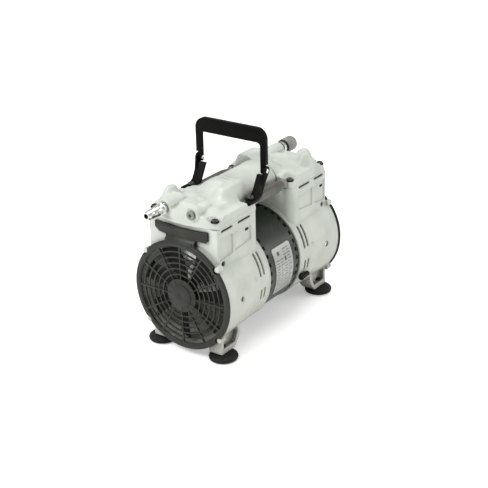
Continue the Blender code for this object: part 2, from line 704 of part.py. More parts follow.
def motor_shaft(mats):
    body = turned("shaft", "Y", (0.0, AXIS_Z),
                  [(-152.5, 6.8), (-151.5, SHAFT_R), (151.5, SHAFT_R), (152.5, 6.8)], 20)
    flats = []
    for sy in (-1, 1):
        flats.append(block("flat", (-10, 10), tuple(sorted((sy * 139, sy * 155))),
                           (AXIS_Z + 6.4, AXIS_Z + 12)))
    cut(body, *flats)
    return finish(body, "motor_shaft", mats["steel"], origin=(0, 0, AXIS_Z))


def rotor(mats):
    body = ring_turned("rotor", "Y", (0.0, AXIS_Z),
                       [(-33, SHAFT_R + 0.3), (33, SHAFT_R + 0.3), (33, 30.0), (29, 32.0),
                        (29, 47.0), (-29, 47.0), (-29, 32.0), (-33, 30.0)], 24)
    return finish(body, "rotor", mats["lamination"], origin=(0, 0, AXIS_Z))


def fan(side, mats):
    body = ring_turned("fan", "Y", (0.0, AXIS_Z),
                       [(139.0, SHAFT_R + 0.3), (151.0, SHAFT_R + 0.3), (151.0, 15.0),
                        (147.0, 19.0), (139.0, 19.0)], 20)
    blades = []
    for k in range(7):
        rings = []
        for r, chord, pitch in ((16.0, 10.0, 34.0), (45.0, 22.0, 28.0), (74.0, 27.0, 22.0)):
            a = math.radians(360 / 7 * k + 0.12 * r)
            ct, st = math.cos(math.radians(pitch)), math.sin(math.radians(pitch))
            ring = []
            for u, v in ((-chord / 2, -0.8), (chord / 2, -0.8), (chord / 2, 0.8), (-chord / 2, 0.8)):
                t, y = u * ct - v * st, u * st + v * ct
                ring.append((r * math.cos(a) - t * math.sin(a), 145.2 + y,
                             AXIS_Z + r * math.sin(a) + t * math.cos(a)))
            rings.append(ring)
        blades.append(loft("blade", rings))
    join(body, *blades)
    cut(body, turned("clear", "Y", (0.0, AXIS_Z), [(130.0, 8.2), (160.0, 8.2)], 20))
    mirror_y(body, side)
    return finish(body, side_name(side) + "_fan", mats["fan_plastic"], origin=(0, 0, AXIS_Z))


def eccentric(side, mats):
    """Offset journal with a counterweight; front throw is up, rear throw is down."""
    up = -side
    body = turned("ecc", "Y", (0.0, AXIS_Z + up * THROW), [(91.0, 15.0), (108.0, 15.0)], 20)
    pts = []
    for k in range(13):
        a = math.radians(180 * k / 12)
        pts.append((36 * math.cos(a), AXIS_Z - up * (36 * math.sin(a) * 0.9)))
    pts += [(-14.0, AXIS_Z + up * 10.0), (14.0, AXIS_Z + up * 10.0)]
    join(body, prism("weight", "Y", pts, 84.0, 91.5))
    cut(body, turned("bore", "Y", (0.0, AXIS_Z), [(80.0, 7.9), (112.0, 7.9)], 20))
    mirror_y(body, side)
    return finish(body, side_name(side) + "_eccentric", mats["cast_iron"], origin=(0, 0, AXIS_Z))


def rod_centre(side):
    return AXIS_Z - side * THROW


def rod_bearing(side, mats):
    zc = rod_centre(side)
    body = ring_turned("bearing", "Y", (0.0, zc),
                       [(95.5, 15.4), (104.5, 15.4), (103.9, 19.3), (104.5, 23.2),
                        (95.5, 23.2)], 18)
    mirror_y(body, side)
    return finish(body, side_name(side) + "_rod_bearing", mats["steel"],
                  origin=(0, side * BORE_Y, zc))


def connecting_rod(side, mats):
    """Big end, shank and piston disc in one casting."""
    zc = rod_centre(side)
    body = turned("rod", "Y", (0.0, zc), [(94.6, ROD_END_R), (105.4, ROD_END_R)], 24)
    shank = loft("shank", [[(-13.0, 95.4, zc + 20), (13.0, 95.4, zc + 20),
                            (13.0, 104.6, zc + 20), (-13.0, 104.6, zc + 20)],
                           [(-8.0, 96.0, zc + 92), (8.0, 96.0, zc + 92),
                            (8.0, 104.0, zc + 92), (-8.0, 104.0, zc + 92)]])
    disc = turned("disc", "Z", (0.0, BORE_Y), [(zc + 89.0, 20.0), (zc + 91.0, 25.3),
                                             (zc + DISC_TOP, 25.3)], 24)
    join(body, shank, disc)
    cut(body, turned("eye", "Y", (0.0, zc), [(90.0, 23.7), (110.0, 23.7)], 20))
    mirror_y(body, side)
    return finish(body, side_name(side) + "_connecting_rod", mats["aluminium"],
                  origin=(0, side * BORE_Y, zc))


def piston_cup(side, mats):
    z0 = rod_centre(side) + DISC_TOP + GAP
    body = ring_turned("cup", "Z", (0.0, BORE_Y),
                       [(z0, 8.0), (z0, 26.5), (z0 + 1.2, PISTON_R), (z0 + 5.0, PISTON_R),
                        (z0 + 5.0, PISTON_R - 1.4), (z0 + 1.6, PISTON_R - 2.4),
                        (z0 + 1.6, 8.0)], 20)
    mirror_y(body, side)
    return finish(body, side_name(side) + "_piston_cup", mats["ptfe"],
                  origin=(0, side * BORE_Y, rod_centre(side)))


def cup_clamp(side, mats):
    z0 = rod_centre(side) + DISC_TOP + GAP
    body = turned("clamp", "Z", (0.0, BORE_Y),
                  [(z0, 7.6), (z0 + 1.9, 7.6), (z0 + 1.9, 23.5), (z0 + 4.4, 23.5),
                   (z0 + 4.8, 22.8)], 20)
    cut(body, turned("socket", "Z", (0.0, BORE_Y), [(z0 + 3.0, 3.0), (z0 + 9, 3.0)], 6))
    mirror_y(body, side)
    return finish(body, side_name(side) + "_cup_clamp", mats["steel"],
                  origin=(0, side * BORE_Y, rod_centre(side)))


# ---------------------------------------------------------------- assembly

def palette():
    return {
        "cast_white": make_material("cast_white", (0.80, 0.81, 0.76), 0.45),
        "guard_plastic": make_material("guard_plastic", (0.055, 0.058, 0.052), 0.55),
        "motor_paint": make_material("motor_paint", (0.045, 0.055, 0.05), 0.4),
        "black_metal": make_material("black_metal", (0.012, 0.012, 0.012), 0.4),
        "rubber": make_material("rubber", (0.015, 0.015, 0.015), 0.7),
        "brown_metal": make_material("brown_metal", (0.09, 0.075, 0.065), 0.5, 0.3),
        "nickel": make_material("nickel", (0.72, 0.72, 0.70), 0.25, 1.0),
        "steel": make_material("steel", (0.55, 0.56, 0.57), 0.35, 1.0),
        "dark_steel": make_material("dark_steel", (0.10, 0.11, 0.10), 0.45, 0.8),
        "spring_steel": make_material("spring_steel", (0.50, 0.52, 0.56), 0.3, 1.0),
        "aluminium": make_material("aluminium", (0.72, 0.73, 0.74), 0.4, 1.0),
        "sintered": make_material("sintered", (0.33, 0.32, 0.30), 0.7, 0.2),
        "label": make_material("label", (0.62, 0.63, 0.62), 0.35, 0.4),
        "lamination": make_material("lamination", (0.30, 0.31, 0.33), 0.5, 1.0),
        "copper": make_material("copper", (0.55, 0.25, 0.12), 0.4, 0.8),
        "cast_iron": make_material("cast_iron", (0.22, 0.22, 0.22), 0.6, 0.8),
        "fan_plastic": make_material("fan_plastic", (0.03, 0.03, 0.03), 0.5),
        "ptfe": make_material("ptfe", (0.10, 0.09, 0.08), 0.5),
    }


def build():
    clear_scene()
    mats = palette()
    for side in (-1, 1):
        for piece in (crankcase, pedestal, cylinder, valve_plate, cylinder_head, fan_guard, main_bearing,
                      fan, eccentric, rod_bearing, connecting_rod, piston_cup, cup_clamp):
            piece(side, mats)
        for kind in ("intake", "exhaust"):
            reed(side, kind, mats)
        for sx in (-1, 1):
            foot(sx, side, mats)
            for inner in (True, False):
                head_bolt(sx, side, inner, mats)
    for sx in (-1, 1):
        transfer_tube(sx, mats)
        handle_arm(sx, mats)
        pivot_rivet(sx, mats)
    for piece in (crossover_duct, hose_barb, exhaust_muffler, port_plug, motor_shell, nameplate,
                  strain_relief, handle_bail, stator_core, stator_winding, motor_shaft, rotor):
        piece(mats)


build()
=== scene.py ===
"""Appearance of the twin-head vacuum pump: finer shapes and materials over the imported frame.

Lengths are millimetres and angles degrees unless a comment says otherwise; MM makes metres.
Pieces that come in pairs are drawn for the rear (+Y) end and mirrored to the front.
"""
import json
import math

import bmesh
import bpy
from mathutils import Matrix, Vector

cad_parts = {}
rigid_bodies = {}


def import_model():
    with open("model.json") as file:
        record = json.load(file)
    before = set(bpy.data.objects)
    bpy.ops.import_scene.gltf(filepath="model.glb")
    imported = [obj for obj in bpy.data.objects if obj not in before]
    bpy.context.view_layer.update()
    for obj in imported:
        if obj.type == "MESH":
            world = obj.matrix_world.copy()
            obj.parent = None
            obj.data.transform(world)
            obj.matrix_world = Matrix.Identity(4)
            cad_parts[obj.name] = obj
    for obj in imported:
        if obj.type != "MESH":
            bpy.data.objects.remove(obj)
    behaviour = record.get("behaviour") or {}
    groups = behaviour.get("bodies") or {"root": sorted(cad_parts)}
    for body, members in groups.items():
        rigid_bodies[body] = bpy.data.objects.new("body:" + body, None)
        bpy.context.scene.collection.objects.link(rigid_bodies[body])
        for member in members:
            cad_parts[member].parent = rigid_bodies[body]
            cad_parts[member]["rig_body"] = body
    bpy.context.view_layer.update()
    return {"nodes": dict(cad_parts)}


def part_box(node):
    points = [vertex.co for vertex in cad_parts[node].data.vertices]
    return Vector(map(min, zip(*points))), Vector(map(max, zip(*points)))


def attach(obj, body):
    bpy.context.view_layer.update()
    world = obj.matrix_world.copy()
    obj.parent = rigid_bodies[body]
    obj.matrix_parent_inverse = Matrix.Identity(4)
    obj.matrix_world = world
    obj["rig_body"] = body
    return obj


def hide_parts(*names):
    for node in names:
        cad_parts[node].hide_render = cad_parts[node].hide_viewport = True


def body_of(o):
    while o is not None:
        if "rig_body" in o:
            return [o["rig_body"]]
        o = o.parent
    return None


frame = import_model()
MM = 0.001


# ---------------------------------------------------------------- places, from the frame

def span(node, axis):
    """Lowest and highest value of a node's box on one axis."""
    low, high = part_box(node)
    return low[axis] / MM, high[axis] / MM


def middle(node, axis):
    """Middle of a node's box on one axis."""
    low, high = span(node, axis)
    return (low + high) / 2


AXIS_Z = middle("motor_shell", 2)
SHELL_R = span("motor_shell", 0)[1]
SHELL_END = span("motor_shell", 1)[1]
BARREL_R = span("rear_crankcase", 0)[1]
BARREL_IN, POST_END = span("rear_crankcase", 1)
LEG_Z = span("rear_crankcase", 2)[0]
TOWER_IN = span("rear_cylinder_pedestal", 1)[0]
GUARD_R = span("rear_fan_guard", 0)[1]
SCOOP_BACK, GUARD_FACE = span("rear_fan_guard", 1)
SCOOP_TOP = span("rear_fan_guard", 2)[1]
HEAD_X = span("rear_cylinder_head", 0)[1]
HEAD_IN = span("rear_cylinder_head", 1)[0]
HEAD_Z, HEAD_TOP = span("rear_cylinder_head", 2)
BOLT_X = middle("right_rear_outer_head_bolt", 0)
BOLT_OUT = middle("right_rear_outer_head_bolt", 1)
BOLT_IN = middle("right_rear_inner_head_bolt", 1)
FOOT_X, FOOT_Y = middle("right_rear_foot", 0), middle("right_rear_foot", 1)
PORT_X, PORT_Z = middle("exhaust_muffler", 0), middle("exhaust_muffler", 2)
PLUG_X = middle("port_plug", 0)
PIVOT_Y, PIVOT_Z = middle("right_pivot_rivet", 1), middle("right_pivot_rivet", 2)
BAIL_HALF, BAIL_TOP = span("handle_bail", 0)[1], span("handle_bail", 2)[1]
BAIL_FRONT, BAIL_BACK = span("handle_bail", 1)
ARM_IN, ARM_OUT = span("right_handle_arm", 0)
SOLE_Z = span("right_handle_arm", 2)[0]
TUBE_X, TUBE_Z = middle("right_transfer_tube", 0), middle("right_transfer_tube", 2)
SIDES = (("front", -1), ("rear", 1))

# Sizes that no box in the frame gives.
GAP = 0.3                        # clearance between CAD pieces
WALL = 4.0                       # casting thickness
BARREL_OUT = POST_END - 3.0      # fan end of the barrel
BULKHEAD = BARREL_IN + 9.2       # wall between motor and running gear
TOWER_OUT = SCOOP_BACK - GAP     # tower face toward the fan
GUARD_BACK = BARREL_OUT + GAP
HEAD_OUT = HEAD_IN + 100.0       # outer edge of the head at its corners
SEAT_Z = HEAD_Z + 12.7           # top of the head flange
CORNER_R = 9.0                   # inner corners of the head flange
CYLINDER_Y = 100.0               # cylinder axis, from mid plane
POST_X, POST_DZ = 66.4, 57.7     # guard screw posts, from the shaft axis
BOSS_Y, BOSS_DZ = 80.5, 15.2     # small dimpled boss on the barrel
SLOT_SPANS = ((67.0, 99.0), (112.0, 140.0))
SLOT_Z = (207.8, 211.2)          # slots in the tower below the head
DUCT_HALF = span("crossover_duct", 0)[1]
DUCT_RISE = 29.0                 # height of the duct's arch above its straight sides
DUCT_SPRING = span("crossover_duct", 2)[1] - DUCT_RISE


# ---------------------------------------------------------------- mesh helpers

def new_object(name, verts, faces):
    """Mesh object from millimetre vertices, with its faces turned outward."""
    mesh = bpy.data.meshes.new(name)
    mesh.from_pydata([tuple(c * MM for c in v) for v in verts], [], faces)
    bm = bmesh.new()
    bm.from_mesh(mesh)
    bmesh.ops.recalc_face_normals(bm, faces=bm.faces)
    bm.to_mesh(mesh)
    bm.free()
    obj = bpy.data.objects.new(name, mesh)
    bpy.context.collection.objects.link(obj)
    return obj


def loft(name, rings, closed=False):
    """Skin over equal point rings; capped at both ends unless the last joins the first."""
    count = len(rings[0])
    verts = [p for ring in rings for p in ring]
    faces = []
    for i in range(len(rings) if closed else len(rings) - 1):
        a, b = i * count, ((i + 1) % len(rings)) * count
        for j in range(count):
            k = (j + 1) % count
            faces.append((a + j, a + k, b + k, b + j))
    if not closed:
        last = (len(rings) - 1) * count
        faces.append(tuple(range(count - 1, -1, -1)))
        faces.append(tuple(range(last, last + count)))
    return new_object(name, verts, faces)


def place(axis, along, u, v):
    """Point with `along` on the named axis; u and v are the other two in order."""
    return {"X": (along, u, v), "Y": (u, along, v), "Z": (u, v, along)}[axis]


def circle(axis, along, centre, radius, count, start=0.0):
    pts = []
    for i in range(count):
        a = math.radians(start) + 2 * math.pi * i / count
        pts.append(place(axis, along, centre[0] + radius * math.cos(a),
                         centre[1] + radius * math.sin(a)))
    return pts


def turned(name, axis, centre, profile, count=48, start=0.0, closed=False):
    """Solid of revolution from (along, radius) pairs; a closed profile makes a ring."""
    rings = [circle(axis, a, centre, r, count, start) for a, r in profile]
    return loft(name, rings, closed)


def prism(name, axis, outline, a0, a1):
    """Outline drawn out along an axis from a0 to a1."""
    return loft(name, [[place(axis, a, u, v) for u, v in outline] for a in (a0, a1)])


def block(name, x, y, z):
    """Box from three (low, high) pairs."""
    outline = [(x[0], y[0]), (x[1], y[0]), (x[1], y[1]), (x[0], y[1])]
    return prism(name, "Z", outline, z[0], z[1])


def rounded(x0, x1, y0, y1, radii, steps=6):
    """Rectangle outline with its own radius at each corner: ++, -+, --, +-."""
    pts = []
    corners = ((x1, y1, -1, -1, 0), (x0, y1, 1, -1, 90), (x0, y0, 1, 1, 180), (x1, y0, -1, 1, 270))
    for (x, y, dx, dy, a0), r in zip(corners, radii):
        for i in range(steps + 1):
            a = math.radians(a0 + 90 * i / steps)
            pts.append((x + dx * r + r * math.cos(a), y + dy * r + r * math.sin(a)))
    return pts


def corner_arc(u, v, r, a0, a1, steps):
    """Points on an arc about (u, v), from angle a0 to a1."""
    angles = [math.radians(a0 + (a1 - a0) * i / steps) for i in range(steps + 1)]
    return [(u + r * math.cos(a), v + r * math.sin(a)) for a in angles]


def bake_modifiers(obj):
    """Make the modified shape the object's own mesh."""
    depsgraph = bpy.context.evaluated_depsgraph_get()
    mesh = bpy.data.meshes.new_from_object(obj.evaluated_get(depsgraph))
    obj.modifiers.clear()
    old = obj.data
    obj.data = mesh
    bpy.data.meshes.remove(old)
    return obj


def boolean(target, cutters, operation):
    """Use up each cutter on the target in turn."""
    for cutter in cutters:
        mod = target.modifiers.new("bool", "BOOLEAN")
        mod.operation = operation
        mod.solver = "EXACT"
        mod.object = cutter
        bake_modifiers(target)
        bpy.data.objects.remove(cutter, do_unlink=True)
    return target


def cut(target, *cutters):
    return boolean(target, cutters, "DIFFERENCE")


def join(target, *others):
    return boolean(target, others, "UNION")


def merge(target, *others):
    """Put meshes in one object without joining their surfaces."""
    bm = bmesh.new()
    bm.from_mesh(target.data)
    for other in others:
        bm.from_mesh(other.data)
        bpy.data.objects.remove(other, do_unlink=True)
    bm.to_mesh(target.data)
    bm.free()
    return target


def cast(obj, voxel, passes):
    """Turn overlapping sharp solids into one soft-edged casting skin."""
    mod = obj.modifiers.new("skin", "REMESH")
    mod.mode = "VOXEL"
    mod.voxel_size = voxel * MM
    mod = obj.modifiers.new("soft", "SMOOTH")
    mod.factor = 0.5
    mod.iterations = passes
    bake_modifiers(obj)
    obj.data.shade_smooth()
    return obj


def bevel(obj, width, segments=2, angle=35.0):
    """Small round on every edge sharper than angle."""
    mod = obj.modifiers.new("edge", "BEVEL")
    mod.width = width * MM
    mod.segments = segments
    mod.limit_method = "ANGLE"
    mod.angle_limit = math.radians(angle)
    mod.use_clamp_overlap = True
    bake_modifiers(obj)
    return smooth(obj, angle)


def smooth(obj, angle=35.0):
    """Smooth shading between edges sharper than angle."""
    obj.data.shade_smooth()
    obj.data.set_sharp_from_angle(angle=math.radians(angle))
    return obj


def mirror_y(obj, side):
    """Turn a piece drawn for the rear into one for the front."""
    if side < 0:
        obj.data.transform(Matrix.Scale(-1.0, 4, Vector((0, 1, 0))))
        obj.data.flip_normals()
    return obj


def hexagon(across):
    """Corner radius of a hexagon from its width across flats."""
    return across / 2 / math.cos(math.radians(30))


# ---------------------------------------------------------------- materials

class Finish:
    """Node material: blotched colour, fine grain in bump and roughness, painted shade in hollows and
    toward the floor.
    """

    def __init__(self, name, dark, light, rough, metal=0.0, coat=0.0, spec=0.5):
        self.name = name
        self.mat = bpy.data.materials.new(name)
        self.mat.use_nodes = True
        self.tree = self.mat.node_tree
        self.shader = self.tree.nodes["Principled BSDF"]
        self.shader.inputs["Metallic"].default_value = metal
        self.shader.inputs["Coat Weight"].default_value = coat
        self.shader.inputs["Specular IOR Level"].default_value = spec
        self.shader.inputs["Coat Roughness"].default_value = 0.25
        self.coords = self.add("ShaderNodeTexCoord").outputs["Object"]
        self.rough = rough
        self.colour = self.blotches(dark, light)
        self.height = None

    def add(self, kind):
        return self.tree.nodes.new(kind)

    def link(self, a, b):
        self.tree.links.new(a, b)

    def noise(self, scale, detail, stretch=(1, 1, 1)):
        """Noise over the object; stretch squeezes it along an axis."""
        mapping = self.add("ShaderNodeMapping")
        mapping.inputs["Scale"].default_value = stretch
        self.link(self.coords, mapping.inputs["Vector"])
        node = self.add("ShaderNodeTexNoise")
        node.inputs["Scale"].default_value = scale
        node.inputs["Detail"].default_value = detail
        self.link(mapping.outputs["Vector"], node.inputs["Vector"])
        return node.outputs["Fac"]

    def blotches(self, dark, light):
        """Soft patches between two colours."""
        node = self.add("ShaderNodeValToRGB")
        first, last = node.color_ramp.elements
        first.position, last.position = 0.32, 0.68
        first.color, last.color = (*dark, 1.0), (*light, 1.0)
        self.link(self.noise(28.0, 5.0), node.inputs["Fac"])
        return node.outputs["Color"]

    def mix(self, factor, colour, strength):
        """Lay a plain colour over the present one where factor is high."""
        gain = self.add("ShaderNodeMath")
        gain.operation = "MULTIPLY"
        gain.use_clamp = True
        gain.inputs[1].default_value = strength
        self.link(factor, gain.inputs[0])
        node = self.add("ShaderNodeMix")
        node.data_type = "RGBA"
        self.link(gain.outputs[0], node.inputs["Factor"])
        self.link(self.colour, node.inputs["A"])
        node.inputs["B"].default_value = (*colour, 1.0)
        self.colour = node.outputs["Result"]
        return self

    def window(self, factor, low, high):
        """0 below low, 1 above high."""
        node = self.add("ShaderNodeMapRange")
        node.inputs["From Min"].default_value = low
        node.inputs["From Max"].default_value = high
        self.link(factor, node.inputs["Value"])
        return node.outputs["Result"]

    def specks(self, scale, low, high, colour, strength, stretch=(1, 1, 1)):
        """Small spots of another colour where the noise is high."""
        return self.mix(self.window(self.noise(scale, 2.0, stretch), low, high), colour, strength)

    def painted_shade(self, colour, reach, strength, clear=0.95, full=0.25):
        """Painted shade in corners and hollows: none where openness is clear, all where it is full."""
        node = self.add("ShaderNodeAmbientOcclusion")
        node.samples = 4
        node.inputs["Distance"].default_value = reach * MM
        return self.mix(self.window(node.outputs["AO"], clear, full), colour, strength)

    def painted_low_shade(self, clear, full, colour, strength):
        """Warm painted shade toward the floor: none above height clear, most below full."""
        node = self.add("ShaderNodeSeparateXYZ")
        self.link(self.coords, node.inputs["Vector"])
        return self.mix(self.window(node.outputs["Z"], clear * MM, full * MM), colour, strength)

    def relief(self, factor, height):
        """Add one texture, height in millimetres, to the surface relief."""
        scale = self.add("ShaderNodeMath")
        scale.operation = "MULTIPLY"
        scale.inputs[1].default_value = height
        self.link(factor, scale.inputs[0])
        if self.height is None:
            self.height = scale.outputs[0]
        else:
            total = self.add("ShaderNodeMath")
            total.operation = "ADD"
            self.link(self.height, total.inputs[0])
            self.link(scale.outputs[0], total.inputs[1])
            self.height = total.outputs[0]
        return self

    def grain(self, scale, height, stretch=(1, 1, 1)):
        """Fine uneven relief."""
        return self.relief(self.noise(scale, 3.0, stretch), height)

    def cells(self, scale, height):
        """Pebbled relief."""
        node = self.add("ShaderNodeTexVoronoi")
        node.inputs["Scale"].default_value = scale
        self.link(self.coords, node.inputs["Vector"])
        return self.relief(node.outputs["Distance"], height)

    def stripes(self, axis, scale, height):
        """Even lines across one axis, such as stacked sheets or wound wire."""
        node = self.add("ShaderNodeTexWave")
        node.bands_direction = axis
        node.inputs["Scale"].default_value = scale
        node.inputs["Distortion"].default_value = 0.4
        self.link(self.coords, node.inputs["Vector"])
        return self.relief(node.outputs["Fac"], height)

    def done(self, scale, spread):
        """Vary the roughness, join everything to the shader; returns name and material."""
        self.link(self.colour, self.shader.inputs["Base Color"])
        node = self.add("ShaderNodeMapRange")
        node.inputs["To Min"].default_value = self.rough - spread
        node.inputs["To Max"].default_value = self.rough + spread
        self.link(self.noise(scale, 4.0), node.inputs["Value"])
        self.link(node.outputs["Result"], self.shader.inputs["Roughness"])
        bump = self.add("ShaderNodeBump")
        bump.inputs["Distance"].default_value = MM
        self.link(self.height, bump.inputs["Height"])
        self.link(bump.outputs["Normal"], self.shader.inputs["Normal"])
        return self.name, self.mat


def make_finishes():
    """Looks by name: one for each slot of the record, and two for trim."""
    return dict((
        # In the looks below, each occlusion layer is painted shade in corners, hollows and the inside of
        # the castings.
        Finish("cast_white", (0.47, 0.50, 0.445), (0.565, 0.59, 0.535), 0.40, coat=0.10, spec=0.4)
        .specks(95.0, 0.62, 0.80, (0.52, 0.52, 0.44), 0.30)
        .painted_shade((0.22, 0.22, 0.16), 8.0, 0.65)
        # Warm painted shade on the lower barrel and legs, darker toward the floor.
        .painted_low_shade(125.0, 35.0, (0.40, 0.375, 0.31), 0.50)
        .painted_shade((0.030, 0.031, 0.026), 70.0, 0.94, 0.48, 0.22)
        .grain(420.0, 0.10).grain(60.0, 0.25).done(120.0, 0.08),
        Finish("guard_plastic", (0.013, 0.014, 0.010), (0.024, 0.025, 0.019), 0.46, spec=0.32)
        .specks(520.0, 0.62, 0.80, (0.060, 0.060, 0.050), 0.25)
        .painted_shade((0.006, 0.006, 0.005), 5.0, 0.8)
        .grain(900.0, 0.09).done(300.0, 0.09),
        Finish("motor_paint", (0.013, 0.018, 0.012), (0.026, 0.033, 0.024), 0.34, coat=0.1, spec=0.35)
        .specks(130.0, 0.66, 0.80, (0.09, 0.10, 0.09), 0.4)
        .painted_shade((0.010, 0.011, 0.010), 6.0, 0.6)
        .grain(520.0, 0.05).grain(45.0, 0.12).done(150.0, 0.07),
        Finish("black_metal", (0.0025, 0.0025, 0.0022), (0.0055, 0.0055, 0.005), 0.45, spec=0.06)
        .specks(190.0, 0.72, 0.80, (0.05, 0.05, 0.045), 0.5)
        .grain(1100.0, 0.05).grain(160.0, 0.05).done(220.0, 0.08),
        Finish("rubber", (0.006, 0.006, 0.006), (0.014, 0.013, 0.012), 0.66, spec=0.25)
        .specks(300.0, 0.62, 0.78, (0.05, 0.048, 0.044), 0.6)
        .grain(700.0, 0.10).done(250.0, 0.10),
        Finish("brown_metal", (0.070, 0.066, 0.052), (0.120, 0.112, 0.088), 0.42, metal=0.30)
        .specks(60.0, 0.58, 0.75, (0.05, 0.045, 0.04), 0.6, (1, 0.25, 1))
        .grain(600.0, 0.04, (1, 0.08, 1)).done(200.0, 0.08),
        Finish("nickel", (0.62, 0.62, 0.60), (0.80, 0.80, 0.77), 0.22, metal=1.0)
        .painted_shade((0.12, 0.12, 0.11), 4.0, 0.6)
        .grain(800.0, 0.012, (0.1, 6, 0.1)).done(400.0, 0.07),
        Finish("steel", (0.42, 0.43, 0.43), (0.58, 0.59, 0.58), 0.33, metal=1.0)
        .grain(700.0, 0.015, (0.1, 5, 0.1)).done(300.0, 0.08),
        Finish("dark_steel", (0.030, 0.032, 0.028), (0.075, 0.078, 0.070), 0.42, metal=0.4)
        .specks(400.0, 0.6, 0.75, (0.14, 0.14, 0.13), 0.5)
        .grain(900.0, 0.03).done(300.0, 0.10),
        Finish("spring_steel", (0.44, 0.46, 0.50), (0.56, 0.58, 0.62), 0.28, metal=1.0)
        .grain(900.0, 0.008, (8, 0.2, 1)).done(400.0, 0.06),
        Finish("aluminium", (0.62, 0.63, 0.64), (0.76, 0.77, 0.77), 0.38, metal=1.0)
        .grain(500.0, 0.03).done(260.0, 0.10),
        Finish("sintered", (0.20, 0.195, 0.18), (0.36, 0.35, 0.33), 0.62, metal=0.35)
        .specks(900.0, 0.5, 0.66, (0.11, 0.105, 0.10), 0.8)
        .cells(650.0, 0.30).done(500.0, 0.10),
        Finish("label", (0.32, 0.33, 0.31), (0.43, 0.44, 0.415), 0.36, metal=0.40)
        .specks(500.0, 0.60, 0.72, (0.30, 0.31, 0.31), 0.4)
        .grain(900.0, 0.012, (1, 6, 1)).done(300.0, 0.07),
        Finish("lamination", (0.20, 0.21, 0.22), (0.34, 0.35, 0.36), 0.48, metal=0.9)
        .stripes("Y", 320.0, 0.10).done(200.0, 0.10),
        Finish("copper", (0.42, 0.17, 0.07), (0.62, 0.30, 0.14), 0.36, metal=0.85)
        .stripes("Y", 210.0, 0.35).grain(300.0, 0.1).done(200.0, 0.08),
        Finish("cast_iron", (0.13, 0.13, 0.13), (0.24, 0.24, 0.235), 0.60, metal=0.8)
        .grain(380.0, 0.20).done(200.0, 0.10),
        Finish("fan_plastic", (0.005, 0.005, 0.0045), (0.011, 0.011, 0.010), 0.50, spec=0.2)
        .grain(700.0, 0.05).done(220.0, 0.08),
        Finish("ptfe", (0.075, 0.068, 0.06), (0.12, 0.11, 0.10), 0.48)
        .grain(600.0, 0.04).done(220.0, 0.08),
        Finish("print", (0.05, 0.052, 0.055), (0.10, 0.102, 0.105), 0.5)
        .grain(900.0, 0.01).done(260.0, 0.08),
        Finish("collar", (0.15, 0.16, 0.135), (0.24, 0.25, 0.22), 0.5, metal=0.2)
        .specks(300.0, 0.58, 0.74, (0.10, 0.10, 0.09), 0.5)
        .grain(500.0, 0.05).done(200.0, 0.08),
    ))


finishes = make_finishes()


def dress(obj, look):
    obj.data.materials.clear()
    obj.data.materials.append(finishes[look])
    return obj


def stand_for(obj, name, look, *nodes, slot=None):
    """Name the piece, hide the nodes it stands for and ride where the first one does."""
    obj.name = name
    obj.data.name = name
    dress(obj, look)
    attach(obj, body_of(frame["nodes"][nodes[0]])[0])
    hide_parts(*nodes)
    return obj


def detail(obj, name, look, slot, body="root"):
    """A piece that no node has: small trim on a body."""
    obj.name = name
    obj.data.name = name
    dress(obj, look)
    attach(obj, body)
    return obj


# ---------------------------------------------------------------- crankcases

def leg(sx):
    """Leg under one side of the barrel, hollowed from its outer side."""
    face = POST_END - 9.0
    outline = [(face, 62.0), (face, LEG_Z), (115.0, LEG_Z), (104.0, 24.0), (100.0, 36.0), (100.0, 62.0)]
    body = prism("leg", "X", outline, sx * 40.0, sx * 64.4)
    hollow = [(143.5, 64.0), (143.5, 20.0), (114.0, 20.0), (107.0, 34.0), (107.0, 64.0)]
    return cut(body, prism("hollow", "X", hollow, sx * 54.5, sx * 70.0))


def fan_shape(sx, r0, r1, low, high, steps=8):
    """Outline of a ring sector about the shaft, for slots in the barrel."""
    angles = [math.radians(low + (high - low) * k / steps) for k in range(steps + 1)]
    pts = [(sx * r0 * math.cos(a), AXIS_Z + r0 * math.sin(a)) for a in angles]
    return pts + [(sx * r1 * math.cos(a), AXIS_Z + r1 * math.sin(a)) for a in reversed(angles)]


def case_lugs():
    """Guard screw posts and a small boss on each side of the barrel."""
    lugs = []
    for sx in (-1, 1):
        for sz in (-1, 1):
            lugs.append(turned("post", "Y", (sx * POST_X, AXIS_Z + sz * POST_DZ),
                               [(146.0, 4.4), (POST_END - 0.8, 4.6), (POST_END, 4.1)], 24))
        lugs.append(turned("boss", "X", (BOSS_Y, AXIS_Z + BOSS_DZ),
                           [(sx * 76.0, 4.6), (sx * 83.2, 4.2)], 24))
    return lugs


